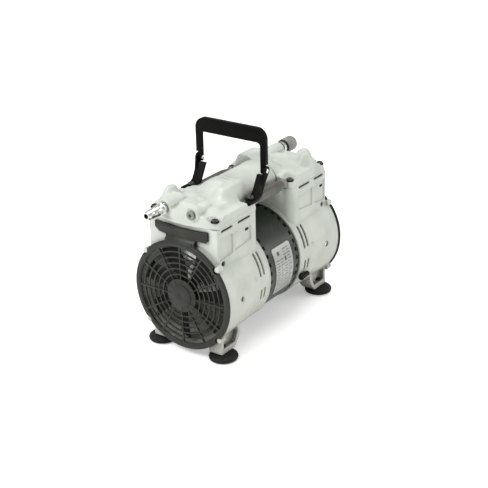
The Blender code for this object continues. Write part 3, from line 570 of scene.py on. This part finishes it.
def crankcase(name, side):
    """Barrel, cylinder tower, legs and guard posts as one casting."""
    axis = (0.0, AXIS_Z)
    lip = BARREL_IN + 2.0
    taper = [(BARREL_IN, 82.4), (lip - 1.4, 83.2), (lip, 83.2), (lip + 1.0, 82.2),
             (BARREL_OUT - 0.8, BARREL_R - 0.1), (BARREL_OUT, BARREL_R - 0.7)]
    body = turned("case", "Y", axis, taper, 96)
    outline = rounded(-HEAD_X, HEAD_X, TOWER_IN, TOWER_OUT, (3.5, 3.5, 12.0, 12.0))
    tower = prism("tower", "Z", outline, AXIS_Z, HEAD_Z + 0.7)
    join(body, tower, leg(-1), leg(1), *case_lugs())
    inside = rounded(-HEAD_X + WALL, HEAD_X - WALL, BULKHEAD + WALL, TOWER_OUT - WALL, (3, 3, 9, 9))
    cut(body, turned("fan room", "Y", axis, [(BULKHEAD + WALL, 78.4), (160.0, 81.8)], 96),
        prism("tower room", "Z", inside, AXIS_Z, 197.0),
        turned("motor room", "Y", axis, [(30.0, 78.0), (BULKHEAD, 78.0)], 96),
        turned("bore", "Z", (0.0, CYLINDER_Y), [(190.0, 37.3), (230.0, 37.3)], 48))
    join(body, turned("hub", "Y", axis, [(47.0, 23.0), (64.0, 22.0)], 48))
    cut(body, turned("bearing seat", "Y", axis, [(46.0, 17.6), (62.0, 17.6)], 48),
        turned("shaft hole", "Y", axis, [(60.0, 12.0), (66.0, 12.0)], 32))
    cut(body, *case_cutters(side))
    mirror_y(cast(body, 0.92, 3), side)
    stand_for(body, name + "_case_casting", "cast_white", name + "_crankcase",
              name + "_cylinder_pedestal")
    slot_shade_strips(name, side)


def slot_shade_strips(name, side):
    """Dark strips at the bottom of the slots below the head: painted shade in the slots."""
    strips = [block("strip", sorted((sx * 61.1, sx * 62.2)), (y0 - 0.5, y1 + 0.5),
                    (SLOT_Z[0] - 0.4, SLOT_Z[1] + 0.4)) for sx in (-1, 1) for y0, y1 in SLOT_SPANS]
    slot_shade = strips.pop()
    merge(slot_shade, *strips)
    detail(mirror_y(slot_shade, side), name + "_slot_shade_strips", "rubber", "rubber")


def vents(sx):
    """Pairs of curved slots near the motor end of the barrel."""
    return [prism("vent", "Y", fan_shape(sx, 72.0, 92.0, low, high), y, y + 3.6)
            for low, high in ((10, 37), (-17, -4)) for y in (55.8, 64.8)]


def side_bays(sx):
    """Two recessed panels on a tower side, below a collar with a sloping lower edge."""
    bays = []
    for y0, y1, low in ((66.0, 107.0, 168.0), (112.0, 144.5, 164.0)):
        top0, top1 = (190.6 + y * 0.0676 for y in (y0, y1))
        outline = [(y0, top0), (y1, top1), (y1, low), (y0, low + 4.0)]
        bays.append(prism("bay", "X", outline, sx * (HEAD_X - 2.4), sx * 70.0))
    return bays


def case_cutters(side):
    """Vents, slots, holes and side panels of one crankcase."""
    cutters = []
    for sx in (-1, 1):
        cutters += vents(sx)
        for span_y in SLOT_SPANS:
            cutters.append(block("slot", sorted((sx * 61.0, sx * 66.0)), span_y, SLOT_Z))
        holes = (((137.0, 158.5), 4.2, 55.0, 70.0, 24), ((119.5, AXIS_Z), 4.4, 74.0, 95.0, 24),
                 ((BOSS_Y, AXIS_Z + BOSS_DZ), 2.2, 81.6, 88.0, 16))
        for centre, radius, x0, x1, count in holes:
            cutters.append(turned("hole", "X", centre, [(sx * x0, radius), (sx * x1, radius)], count))
        cutters += side_bays(sx)
        mark = 73.0 if sx * side < 0 else 138.0
        cutters.append(block("mark", sorted((sx * 58.0, sx * 66.0)), (mark - 4.5, mark + 4.5),
                             (188.5, 192.0)))
    return cutters


# ---------------------------------------------------------------- cylinder heads

def ease(t):
    """Smooth step from 0 to 1."""
    t = max(0.0, min(1.0, t))
    return t * t * (3 - 2 * t)


def pad(x, y, box, slope, radius):
    """1 on a rounded rectangle, easing to 0 over slope outside it."""
    x0, x1, y0, y1 = box
    dx = max(abs(x - (x0 + x1) / 2) - (x1 - x0) / 2 + radius, 0.0)
    dy = max(abs(y - (y0 + y1) / 2) - (y1 - y0) / 2 + radius, 0.0)
    return ease(1.0 - (math.hypot(dx, dy) - radius) / slope)


def blend_max(a, b, k):
    """Larger of two heights with a soft valley between them."""
    h = max(k - abs(a - b), 0.0) / k
    return max(a, b) + h * h * k / 4


def pipe_boss(x, y, centre, radius, start):
    """Half-round ridge over a port; its inner end fades into the head."""
    across = radius * radius - (x - centre) ** 2
    if across <= 0:
        return 0.0
    return (PORT_Z - SEAT_Z + math.sqrt(across)) * ease((y - start) / 9.0)


def throat(x, y):
    """Height of the mouth where the crossover duct runs into the head."""
    t = ease((y - 60.0) / 30.0)
    half, rise = DUCT_HALF - 9.0 * t, DUCT_RISE - 21.0 * t
    across = 1.0 - (x / half) ** 2
    if across <= 0:
        return -3.6              # well below the seat, out of the blend
    return DUCT_SPRING + 0.4 + rise * math.sqrt(across) - SEAT_Z


def head_height(x, y, side):
    """Top of one head; y is the distance from mid plane. The rear head is turned half round."""
    u = -side * x
    plateau = 10.4 * pad(u, y, (-44, 40, 60, 128), 14.0, 14.0)
    ridge = (HEAD_TOP - 0.6 - SEAT_Z) * pad(u, y, (20, 35, 30, 88), 19.0, 7.0)
    hump = (HEAD_TOP - 3.4 - SEAT_Z) * pad(u, y, (-50, -43, 107, 120), 18.0, 5.0)
    port, spare = pipe_boss(x, y, PORT_X, 12.0, 106.0), pipe_boss(x, y, PLUG_X, 9.6, 110.0)
    top = plateau
    for lump, soft in ((throat(x, y), 6.0), (ridge, 11.0), (hump, 10.0), (port, 8.0), (spare, 10.0)):
        top = blend_max(top, lump, soft)
    top += 1.7 * pad(u, y, (-23, -9, 70, 77), 3.0, 3.5) + 1.5 * pad(u, y, (-5, 3, 97, 104), 4.0, 3.5)
    top += 0.45 * math.sin(x / 8.0 + 1.0) * math.sin(y / 9.5) * min(1.0, max(top, 0.0) / 6.0)
    near_bolt = min(math.hypot(abs(x) - BOLT_X, y - by) for by in (BOLT_IN, BOLT_OUT))
    top = max(top, 0.0) * ease((near_bolt - 7.6) / 7.0)
    if side < 0:                 # flat seats under the handle arms
        top *= ease(max(47.2 - abs(x), y - 69.3) / 3.5)
    spotface = 1.2 * max(0.0, min(1.0, (8.0 - near_bolt) / 1.1))
    return SEAT_Z - GAP + top - spotface


def head_edge(x):
    """Outer edge of the flange, bulging outward at mid width."""
    return HEAD_OUT + 8.6 * max(0.0, 1.0 - (x / 60.0) ** 2)


def head_skin(side, inset):
    """Closed solid under the modelled top surface."""
    columns, rows = 128, 104
    verts, faces = [], []
    for j in range(rows + 1):
        t = j / rows
        short = max(0.0, CORNER_R - t * (HEAD_OUT - HEAD_IN))
        half = HEAD_X - inset - CORNER_R + math.sqrt(CORNER_R ** 2 - short * short)
        for i in range(columns + 1):
            x = half * (2 * i / columns - 1)
            y0 = HEAD_IN + 0.2
            y = y0 + (head_edge(x) - inset - y0) * t
            verts.append((x, y, head_height(x, y, side)))
    count = len(verts)
    verts += [(x, y, HEAD_Z + 2.0) for x, y, _ in verts]
    width = columns + 1
    for j in range(rows):
        for i in range(columns):
            a = j * width + i
            quad = (a, a + 1, a + 1 + width, a + width)
            faces += [quad, tuple(count + k for k in reversed(quad))]
    rim = list(range(width)) + [j * width + columns for j in range(1, rows + 1)]
    rim += [rows * width + i for i in range(columns - 1, -1, -1)]
    rim += [j * width for j in range(rows - 1, 0, -1)]
    for k, a in enumerate(rim):
        b = rim[(k + 1) % len(rim)]
        faces.append((a, a + count, b + count, b))
    return new_object("skin", verts, faces)


def cylinder_head(name, side):
    """Soft casting on a base flange, with the parting line between them."""
    xs = [HEAD_X - 2 * HEAD_X * i / 40 for i in range(41)]
    outline = corner_arc(-HEAD_X + CORNER_R, HEAD_IN + CORNER_R, CORNER_R, 180, 270, 6)
    outline += corner_arc(HEAD_X - CORNER_R, HEAD_IN + CORNER_R, CORNER_R, 270, 360, 6)
    outline += [(x, head_edge(x)) for x in xs]
    body = prism("flange", "Z", outline, HEAD_Z, HEAD_Z + 5.2)
    merge(body, head_skin(side, 1.0))
    for x in (PORT_X, PLUG_X):
        edge = head_edge(x)
        collar = [(edge - 12.0, 11.6), (edge - 0.6, 11.6), (edge, 11.0)]
        merge(body, turned("collar", "Y", (x, PORT_Z), collar, 40))
    mirror_y(cast(body, 0.9, 8), side)
    return stand_for(body, name + "_head_casting", "cast_white", name + "_cylinder_head")


# ---------------------------------------------------------------- fan guards

def guard_wheel():
    """Hub, twelve thin spokes and the bars between the ring slots."""
    columns = 11                 # a spoke and ten columns between it and the next
    half_spoke = 1.2             # degrees
    step = (30 - 2 * half_spoke) / (columns - 1)
    thetas = []
    for k in range(12):
        thetas.append(math.radians(30 * k - half_spoke))
        thetas += [math.radians(30 * k + half_spoke + step * i) for i in range(columns - 1)]
    radii = [0.0, 17.5]
    for k in range(6):
        radii += [26.4 + 9.0 * k, 33.0 + 9.0 * k]
    radii.append(80.4)

    def solid(i, j, k):
        if j == 0:
            return True
        if i % columns == 0:
            return k < 2
        return j % 2 == 1 and k == 0

    return polar_solid(thetas, radii, [156.6, 158.7, 159.2, 159.8], solid)


def polar_solid(thetas, radii, levels, solid):
    """Wheel made of the polar cells (column, row, layer) where solid() is true."""
    count, rows, layers = len(thetas), len(radii) - 1, len(levels) - 1
    cells = {(i, j, k) for i in range(count) for j in range(rows) for k in range(layers)
             if solid(i, j, k)}
    index, verts, faces = {}, [], []

    def vert(i, j, k):
        key = ((i % count) if radii[j] > 0 else 0, j, k)
        if key not in index:
            a = thetas[i % count]
            index[key] = len(verts)
            verts.append((radii[j] * math.sin(a), levels[k], AXIS_Z + radii[j] * math.cos(a)))
        return index[key]

    def add(*corners):
        ring = tuple(dict.fromkeys(vert(*c) for c in corners))
        if len(ring) > 2:
            faces.append(ring)

    for i, j, k in sorted(cells):
        for near, layer in ((k - 1, k), (k + 1, k + 1)):
            if (i, j, near) not in cells:
                add((i, j, layer), (i + 1, j, layer), (i + 1, j + 1, layer), (i, j + 1, layer))
        for near, row in ((j - 1, j), (j + 1, j + 1)):
            if (i, near, k) not in cells and radii[row] > 0:
                add((i, row, k), (i + 1, row, k), (i + 1, row, k + 1), (i, row, k + 1))
        for near, column in ((i - 1, i), (i + 1, i + 1)):
            if (near % count, j, k) not in cells:
                add((column, j, k), (column, j + 1, k), (column, j + 1, k + 1), (column, j, k + 1))
    return new_object("wheel", verts, faces)


def scoop():
    """Curved air deflector that rises from the rim and steps back to the tower."""
    half, over = 48.0, SCOOP_TOP + 2
    front = [(159.3, 177.0), (159.0, 184.0), (158.2, 187.0), (156.5, 189.4), (154.6, 191.8),
             (153.6, 194.6), (153.4, over)]
    back = [(149.9, over), (149.9, 191.4), (151.9, 189.2), (155.3, 186.4), (155.8, 177.0)]
    sheet = prism("sheet", "X", front + back, -52.0, 52.0)
    top = [(half - 6 * i, SCOOP_TOP - 2.3 * (1 - (1 - i / 8) ** 2)) for i in range(17)]
    right = [(31, 178), (27.0, 184.0), (26, 190.0), (28.0, 192.3), (45.5, 192.6), (half, 195.0)]
    left = [(-half, 199.0), (-41, 193.4), (-28.0, 192.3), (-26, 190.0), (-27.0, 184.0), (-31, 178)]
    return boolean(sheet, [prism("outline", "Y", right + top + left, 140.0, 170.0)], "INTERSECT")


def guard_rim():
    """Wide rounded rim with four notches for the screw posts."""
    profile = [(GUARD_BACK, 84.3), (GUARD_BACK, 87.4), (156.2, GUARD_R), (157.6, GUARD_R), (158.6, 87.5),
               (159.4, 86.3), (159.9, 84.6), (GUARD_FACE, 82.8), (GUARD_FACE, 81.0), (159.6, 79.4),
               (158.9, 78.4), (158.0, 78.0), (156.5, 78.0), (156.5, 84.3)]
    rim = turned("rim", "Y", (0.0, AXIS_Z), profile, 128, closed=True)
    for x in (-POST_X, POST_X):
        for z in (AXIS_Z - POST_DZ, AXIS_Z + POST_DZ):
            cut(rim, turned("notch", "Y", (x, z), [(140.0, 5.9), (165.0, 5.9)], 24))
    return smooth(rim, 40.0)


def fan_guard(name, side):
    """Grille with its rim, raised hub disc, air scoop and scoop screw."""
    body = bevel(guard_wheel(), 0.45, 2)
    disc = [(159.5, 16.6), (GUARD_FACE, 15.6), (GUARD_FACE, 3.4), (159.8, 2.8), (159.3, 2.4), (159.3, 0.1)]
    screw = [(156.0, 3.4), (159.4, 3.4), (159.8, 2.8), (159.5, 1.2)]
    merge(body, guard_rim(), bevel(scoop(), 0.7, 2), smooth(turned("disc", "Y", (0.0, AXIS_Z), disc, 48)),
          smooth(turned("screw", "Y", (20.0, 184.6), screw, 24)))
    mirror_y(body, side)
    return stand_for(body, name + "_grille", "guard_plastic", name + "_fan_guard")


# ---------------------------------------------------------------- motor shell and its trim

def motor_shell():
    """Rolled shell with a row of square vents near each end."""
    thetas = [math.radians(10 * k + a) for k in range(36) for a in (2.7, 5.0, 7.3, 10.0)]
    ends = [33.8, 38.2, SHELL_END - 1.2, SHELL_END]
    levels = [-y for y in reversed(ends)] + ends
    body = polar_solid(thetas, [77.6, SHELL_R], levels,
                       lambda i, j, k: not (i % 4 in (0, 1) and k in (2, 4)))
    return stand_for(smooth(body, 30.0), "shell_skin", "motor_paint", "motor_shell")


def curved_strip(name, y, angles, r0, r1, steps=24):
    """Strip of the shell's curvature between two radii."""
    pts = fan_shape(1, r0, r1, angles[0], angles[1], steps)
    return prism(name, "Y", pts, y[0], y[1])


def plate_marks(y0):
    """Ruled lines and two squares in place of print."""
    def mark(start, length, angle, half, steps):
        return curved_strip("mark", (start, start + length), (angle - half, angle + half),
                            SHELL_R + 0.6, SHELL_R + 0.84, steps)

    marks = []
    for row in range(15):
        for column in range(4):
            if row >= 3 or column >= 2:
                length = 3.0 + 5.4 * abs(math.sin(1.7 * row + 2.3 * column))
                marks.append(mark(y0 + 5.0 + column * 10.2, length, 24.0 - 3.3 * row, 0.42, 1))
    marks.append(mark(y0 + 10.0, 6.0, 21.6, 2.2, 2))
    marks.append(mark(y0 + 27.0, 4.0, 13.0, 2.2, 2))
    return marks


def nameplate():
    """Foil plate with rounded corners; its marks carry no lettering."""
    y0, y1 = span("nameplate", 1)
    z0, z1 = span("nameplate", 2)
    body = curved_strip("plate", (y0, y1), (-28.0, 30.0), SHELL_R + 0.25, SHELL_R + 0.75, 30)
    shape = prism("corners", "X", rounded(y0 + 0.1, y1 - 0.1, z0, z1, (4.0,) * 4), 60.0, 90.0)
    boolean(body, [shape], "INTERSECT")
    stand_for(smooth(body, 30.0), "foil_plate", "label", "nameplate")
    marks = plate_marks(y0)
    rules = marks.pop()
    merge(rules, *marks)
    detail(rules, "plate_rules", "print", "label")


def strain_relief():
    """Moulded relief: knobbed collars that narrow away from the motor."""
    x = middle("cord_strain_relief", 0)
    z = AXIS_Z + x * math.tan(math.radians(-21.0))
    y0, y1 = span("cord_strain_relief", 1)
    rings = []
    steps, sides = 40, 32
    for i in range(steps + 1):
        t = i / steps
        groove = 0.5 + 0.5 * math.cos(2 * math.pi * 3.5 * t)
        ring = []
        for k in range(sides):
            a = 2 * math.pi * k / sides
            flute = 0.45 * (0.5 + 0.5 * math.cos(4 * a)) * math.sin(math.pi * t)
            r = 5.3 - 1.1 * t - groove - flute
            ring.append((x + r * math.cos(a), y0 + (y1 - y0) * t, z + r * math.sin(a)))
        rings.append(ring)
    body = smooth(loft("relief", rings), 50.0)
    return stand_for(body, "relief_boot", "rubber", "cord_strain_relief")


# ---------------------------------------------------------------- feet, tubes and fittings

def foot(name, sx, sy):
    """Domed rubber foot with a stem up into the leg."""
    x, y = sx * FOOT_X, sy * FOOT_Y
    profile = [(0.0, 18.6), (0.5, 19.6), (1.6, 21.6), (3.2, 22.4), (5.0, 22.7), (6.8, 22.0), (8.4, 20.2),
               (9.6, 17.6), (10.4, 14.0), (10.7, 11.0), (10.7, 8.6), (11.3, 8.0), (11.3, 3.9),
               (22.0, 3.9)]
    body = smooth(turned("foot", "Z", (x, y), profile, 64), 40.0)
    return stand_for(body, name + "_pad", "rubber", name)


def transfer_tube(sx, name):
    """Coated tube, swelled in the middle, with a collar at each end."""
    axis = (sx * TUBE_X, TUBE_Z)
    end = span(name, 1)[1]
    x0, x1 = span(name, 0)
    r = (x1 - x0) / 2
    half = [(end, 6.6), (37.0, 6.6), (35.4, 7.0), (32.0, 7.7), (27.0, 8.7), (23.0, r - 0.1), (18.0, r)]
    profile = [(-end, 5.6), (end, 5.6)] + half + [(-y, q) for y, q in reversed(half)]
    stand_for(smooth(turned("tube", "Y", axis, profile, 56, closed=True), 40.0), name + "_skin",
              "brown_metal", name)
    rim = [(36.4, 6.4), (36.4, 6.9), (37.0, 7.3), (44.6, 7.3), (end - 0.1, 6.9), (end - 0.1, 6.4)]
    for end_name, sy in SIDES:
        ring = turned("collar", "Y", axis, [(sy * y, q) for y, q in rim], 48, closed=True)
        detail(smooth(ring, 40.0), f"{name}_{end_name}_collar", "collar", "brown_metal")


def crossover_duct():
    """Cast arch with a rolled lip at each end."""
    end = span("crossover_duct", 1)[1]
    foot_z = span("crossover_duct", 2)[0]
    wall = 3.6

    def arch(y, inset):
        side, rise = DUCT_HALF - inset, DUCT_RISE - inset
        angles = [math.pi * k / 36 for k in range(37)]
        arc = [(side * math.cos(a), y, DUCT_SPRING + rise * math.sin(a)) for a in angles]
        return [(side, y, foot_z)] + arc + [(-side, y, foot_z)]

    half = [(8.0, 1.0), (end - 8.0, 1.2), (end - 6.0, 0.0), (end - 0.5, 0.0), (end, 0.6)]
    steps = [(-y, inset) for y, inset in reversed(half)] + half
    body = loft("duct", [arch(y, inset) + arch(y, wall)[::-1] for y, inset in steps])
    bevel(body, 0.5, 2, 40.0)
    return stand_for(body, "duct_casting", "cast_white", "crossover_duct")


def hose_barb():
    """Plated hose tail with hexagon and four sawtooth barbs."""
    centre = (PORT_X, PORT_Z)
    tip = -span("inlet_hose_barb", 1)[0]
    body = turned("barb", "Y", centre, [(124.0, 7.8), (155.0, 7.8), (155.0, 9.0), (155.6, 9.2),
                                       (155.7, 7.6), (160.6, 7.6), (161.0, 7.2), (163.0, 6.6),
                                       (167.0, 6.4), (167.4, 8.2), (168.0, 8.3), (174.6, 6.5),
                                       (175.0, 7.9), (175.5, 8.0), (181.4, 6.2), (181.8, 7.5),
                                       (182.3, 7.6), (188.0, 5.9), (188.3, 6.8), (188.8, 6.9),
                                       (tip, 5.2), (tip, 3.9), (124.0, 3.9)], 56, closed=True)
    ring = turned("hex", "Y", centre, [(155.8, hexagon(17.0)), (160.2, hexagon(17.0))], 6, 30.0)
    bevel(ring, 0.5, 2)
    cut(ring, turned("bore", "Y", centre, [(150.0, 7.5), (165.0, 7.5)], 40))
    merge(smooth(body, 28.0), smooth(ring, 28.0))
    mirror_y(body, -1)
    return stand_for(body, "barb_fitting", "nickel", "inlet_hose_barb")


def muffler():
    """Porous exhaust silencer: neck, dark ring, knurled body and an open nipple."""
    centre = (PORT_X, PORT_Z)
    y0, tip = span("exhaust_muffler", 1)
    neck = turned("neck", "Y", centre, [(y0, 7.8), (156.4, 7.8), (156.6, 10.2), (163.6, 10.2),
                                       (163.8, 8.4), (166.0, 8.4), (166.0, 4.0), (y0, 4.0)], 48,
                  closed=True)
    stand_for(smooth(neck, 30.0), "muffler_neck", "nickel", "exhaust_muffler")
    ring = turned("ring", "Y", centre, [(163.8, 8.6), (163.8, 11.2), (164.4, 11.8), (166.4, 11.8),
                                       (167.0, 11.2), (167.0, 8.6)], 48, closed=True)
    detail(smooth(ring, 40.0), "muffler_ring", "rubber", "sintered")
    rings, count = [], 120
    for y, r in ((167.1, 11.6), (167.7, 12.2), (168.4, 12.4), (189.6, 12.4), (190.6, 12.1), (191.6, 11.2)):
        ridges = []
        for k in range(count):
            a, q = 2 * math.pi * k / count, r - 0.35 * (k % 2)
            ridges.append((PORT_X + q * math.cos(a), y, PORT_Z + q * math.sin(a)))
        rings.append(ridges)
    for y, r in ((191.6, 8.0), (tip, 7.4), (tip, 5.2), (187.0, 5.2), (187.0, 4.0), (167.1, 4.0)):
        rings.append(circle("Y", y, centre, r, count))
    body = loft("body", rings, closed=True)
    return detail(smooth(body, 60.0), "muffler_body", "sintered", "sintered")


def port_plug():
    """Socket plug screwed into the spare port."""
    centre = (PLUG_X, PORT_Z)
    tip = -span("port_plug", 1)[0]
    body = turned("plug", "Y", centre, [(146.0, 5.0), (155.0, 5.0), (155.0, 6.3), (155.6, 6.8),
                                       (tip - 0.6, 6.8), (tip, 6.2)], 40)
    cut(body, turned("socket", "Y", centre, [(tip - 3.5, hexagon(5.4)), (tip + 2, hexagon(5.4))], 6))
    bevel(body, 0.25, 2)
    mirror_y(body, -1)
    return stand_for(body, "plug_body", "collar", "port_plug", slot="steel")


def head_bolt(name):
    """Socket screw with a black washer under its head; the washer's black is painted shade in the spotface
    round the head.
    """
    x, y = middle(name, 0), middle(name, 1)
    low, top = span(name, 2)
    shank = [(low + 0.3, 2.9), (top - 4.0, 2.9), (top - 4.0, 5.0), (top - 0.8, 5.0), (top, 4.3)]
    body = turned("bolt", "Z", (x, y), shank, 40)
    cut(body, turned("socket", "Z", (x, y), [(top - 2.2, hexagon(4.4)), (top + 2, hexagon(4.4))], 6))
    bevel(body, 0.2, 2)
    stand_for(body, name + "_screw", "dark_steel", name)
    washer = turned("washer", "Z", (x, y), [(top - 4.1, 3.2), (top - 4.1, 6.3), (top - 3.0, 6.2),
                                           (top - 2.8, 5.9), (top - 2.8, 3.2)], 40, closed=True)
    detail(smooth(washer, 40.0), name + "_washer", "black_metal", "dark_steel")


# ---------------------------------------------------------------- handle

def handle_arm(sx, name):
    """Leaning strap on a bolted sole, with an ear beside the bail for the pivot."""
    def face(z):
        """Front of the leaning strap at height z."""
        return -24.3 - (261.2 - z) * 0.55

    thick, top, deck = 4.6, 258.5, SOLE_Z + 4.0
    low = deck - 0.3
    strap = [(-48.0, deck), (face(234.0), 234.0), (face(top), top), (face(top) + thick, top),
             (face(low) + thick, low), (-46.4, low)]
    body = prism("strap", "X", strap, sx * ARM_IN, sx * ARM_OUT)
    corners = [(ARM_IN, -46.2), (ARM_OUT, -46.2), (ARM_OUT, -68.5), (61.0, -68.5), (ARM_IN, -57.0)]
    sole = prism("sole", "Z", [(sx * x, y) for x, y in corners], SOLE_Z, deck)
    ear = [(face(247.0), 247.0), (face(247.0) + thick, 247.0)]
    ear += corner_arc(PIVOT_Y, PIVOT_Z, 7.2, -35, 175, 14)
    heel = [(-50.0, SOLE_Z + 0.3), (-43.0, SOLE_Z + 0.3), (-38.4, deck + 0.5), (-50.0, deck - 0.5)]
    join(body, sole, prism("heel", "X", heel, sx * 57.8, sx * (ARM_OUT - 0.3)),
         prism("ear", "X", ear, sx * 61.0, sx * (ARM_OUT - 0.2)))
    cut(body, turned("hole", "Z", (sx * BOLT_X, -BOLT_IN), [(220.0, 3.4), (235.0, 3.4)], 24),
        turned("pin", "X", (PIVOT_Y, PIVOT_Z), [(sx * 55.0, 2.8), (sx * 70.0, 2.8)], 24))
    bevel(body, 0.4, 2, 50.0)
    return stand_for(body, name + "_strap", "black_metal", name)


def handle_bail():
    """Flat black bail with a deep grip and rounded edges."""
    leg_w, grip, r, q = 9.3, 22.5, 17.0, 6.0
    thick = (BAIL_BACK - BAIL_FRONT) / 2
    base = PIVOT_Z + 9.5
    inner_x, inner_z = BAIL_HALF - leg_w, BAIL_TOP - grip
    outer = corner_arc(BAIL_HALF - r, BAIL_TOP - r, r, 0, 90, 14)
    outer += corner_arc(-BAIL_HALF + r, BAIL_TOP - r, r, 90, 180, 14)
    inner = corner_arc(-inner_x + q, inner_z - q, q, 180, 90, 8)
    inner += corner_arc(inner_x - q, inner_z - q, q, 90, 0, 8)
    outline = [(BAIL_HALF, base)] + outer + [(-BAIL_HALF, base), (-inner_x, base)]
    outline += inner + [(inner_x, base)]
    body = prism("bail", "Y", outline, BAIL_FRONT, BAIL_BACK)
    for sx in (-1, 1):
        tab = [(BAIL_FRONT + 0.05, base + 5.0), (BAIL_BACK - 0.05, base + 5.0)]
        tab += [(PIVOT_Y + (thick - 0.05) * math.cos(math.radians(-15 * k)),
                 PIVOT_Z - 2 + 4 * math.sin(math.radians(-15 * k))) for k in range(13)]
        join(body, prism("tab", "X", tab, sx * (inner_x + 0.05), sx * 60.6))
        cut(body, turned("pin", "X", (PIVOT_Y, PIVOT_Z), [(sx * 45.0, 2.8), (sx * 66.0, 2.8)], 24))
    bevel(body, 0.9, 3, 50.0)
    return stand_for(body, "bail_bar", "black_metal", "handle_bail")


def pivot_rivet(name):
    """Bright pivot rivet with a domed head at both ends."""
    x0, x1 = span(name, 0)
    sx = 1 if x1 > 0 else -1
    a, b = (x0, x1) if sx > 0 else (-x1, -x0)
    profile = [(a, 1.6), (a + 0.3, 2.6), (a + 0.9, 3.3), (a + 1.3, 3.3), (a + 1.3, 2.5), (b - 1.2, 2.5),
               (b - 1.2, 3.3), (b - 0.8, 3.3), (b - 0.3, 2.6), (b, 1.6)]
    body = turned("rivet", "X", (PIVOT_Y, PIVOT_Z), [(sx * p, r) for p, r in profile], 36)
    return stand_for(smooth(body, 30.0), name + "_head", "nickel", name)


# ---------------------------------------------------------------- build the pump

for node in frame["nodes"].values():
    for material_slot in node.material_slots:
        material_slot.material = finishes[material_slot.material.name.split(".")[0]]

for end_name, end_side in SIDES:
    crankcase(end_name, end_side)
    cylinder_head(end_name, end_side)
    fan_guard(end_name, end_side)
    for x_name, x_side in (("left", -1), ("right", 1)):
        foot(f"{x_name}_{end_name}_foot", x_side, end_side)
        for row in ("inner", "outer"):
            head_bolt(f"{x_name}_{end_name}_{row}_head_bolt")
for x_name, x_side in (("left", -1), ("right", 1)):
    transfer_tube(x_side, x_name + "_transfer_tube")
    handle_arm(x_side, x_name + "_handle_arm")
    pivot_rivet(x_name + "_pivot_rivet")
motor_shell()
nameplate()
strain_relief()
crossover_duct()
hose_barb()
muffler()
port_plug()
handle_bail()


# ---------------------------------------------------------------- floor, light and camera

def seen_by_camera(tree, target, other, seen):
    """Drive a strength socket with one value for the camera and another for light."""
    rays = tree.nodes.new("ShaderNodeLightPath")
    strength = tree.nodes.new("ShaderNodeMapRange")
    strength.inputs["To Min"].default_value = other
    strength.inputs["To Max"].default_value = seen
    tree.links.new(rays.outputs["Is Camera Ray"], strength.inputs["Value"])
    tree.links.new(strength.outputs["Result"], target)


def floor():
    """White floor that fades into the background."""
    obj = new_object("floor", [(-6000, -6000, -0.2), (6000, -6000, -0.2), (6000, 6000, -0.2),
                               (-6000, 6000, -0.2)], [(0, 1, 2, 3)])
    mat = bpy.data.materials.new("floor")
    mat.use_nodes = True
    shader = mat.node_tree.nodes["Principled BSDF"]
    shader.inputs["Base Color"].default_value = (0.97, 0.97, 0.97, 1.0)
    shader.inputs["Emission Color"].default_value = (1.0, 1.0, 1.0, 1.0)
    seen_by_camera(mat.node_tree, shader.inputs["Emission Strength"], 0.08, 0.34)
    shader.inputs["Roughness"].default_value = 0.9
    shader.inputs["Specular IOR Level"].default_value = 0.1
    obj.data.materials.append(mat)


def soft_light(name, place_m, aim_m, size_m, watts, colour=(1.0, 1.0, 1.0)):
    """Round area light turned toward a point."""
    light = bpy.data.lights.new(name, "AREA")
    light.shape = "DISK"
    light.size = size_m
    light.energy = watts
    light.color = colour
    obj = bpy.data.objects.new(name, light)
    obj.location = place_m
    aim = Vector(aim_m) - Vector(place_m)
    obj.rotation_euler = aim.to_track_quat("-Z", "Y").to_euler()
    bpy.context.collection.objects.link(obj)


def studio():
    """White surroundings and three soft lights."""
    world = bpy.data.worlds.new("studio")
    bpy.context.scene.world = world
    world.use_nodes = True
    background = world.node_tree.nodes["Background"]
    background.inputs["Color"].default_value = (0.98, 0.99, 1.0, 1.0)
    seen_by_camera(world.node_tree, background.inputs["Strength"], 0.60, 1.0)
    target = (0.0, 0.0, 0.15)
    soft_light("key", (-0.6, -1.6, 1.7), target, 1.0, 34.0)
    soft_light("top", (0.1, 0.4, 2.2), target, 1.6, 20.0, (1.0, 1.0, 0.98))
    soft_light("side", (1.8, 1.5, 0.9), target, 1.0, 10.0, (1.0, 0.98, 0.95))
    bpy.context.scene.view_settings.view_transform = "Standard"


def camera():
    """Same angle as the reference view: from the front right, 24 degrees above."""
    place_m = Vector((0.9354, -1.3084, 0.8389))
    forward = Vector((-0.5301, 0.7442, -0.4065)).normalized()
    roll = math.radians(-1.33)
    right = forward.cross(Vector((0, 0, 1))).normalized()
    up = right.cross(forward)
    right, up = (right * math.cos(roll) + up * math.sin(roll),
                 up * math.cos(roll) - right * math.sin(roll))
    data = bpy.data.cameras.new("camera")
    data.sensor_width = 36.0
    data.lens = 81.9
    data.clip_end = 50.0
    obj = bpy.data.objects.new("camera", data)
    basis = Matrix((right, up, -forward)).transposed().to_4x4()
    obj.matrix_world = Matrix.Translation(place_m) @ basis
    bpy.context.collection.objects.link(obj)
    bpy.context.scene.camera = obj


floor()
studio()
camera()
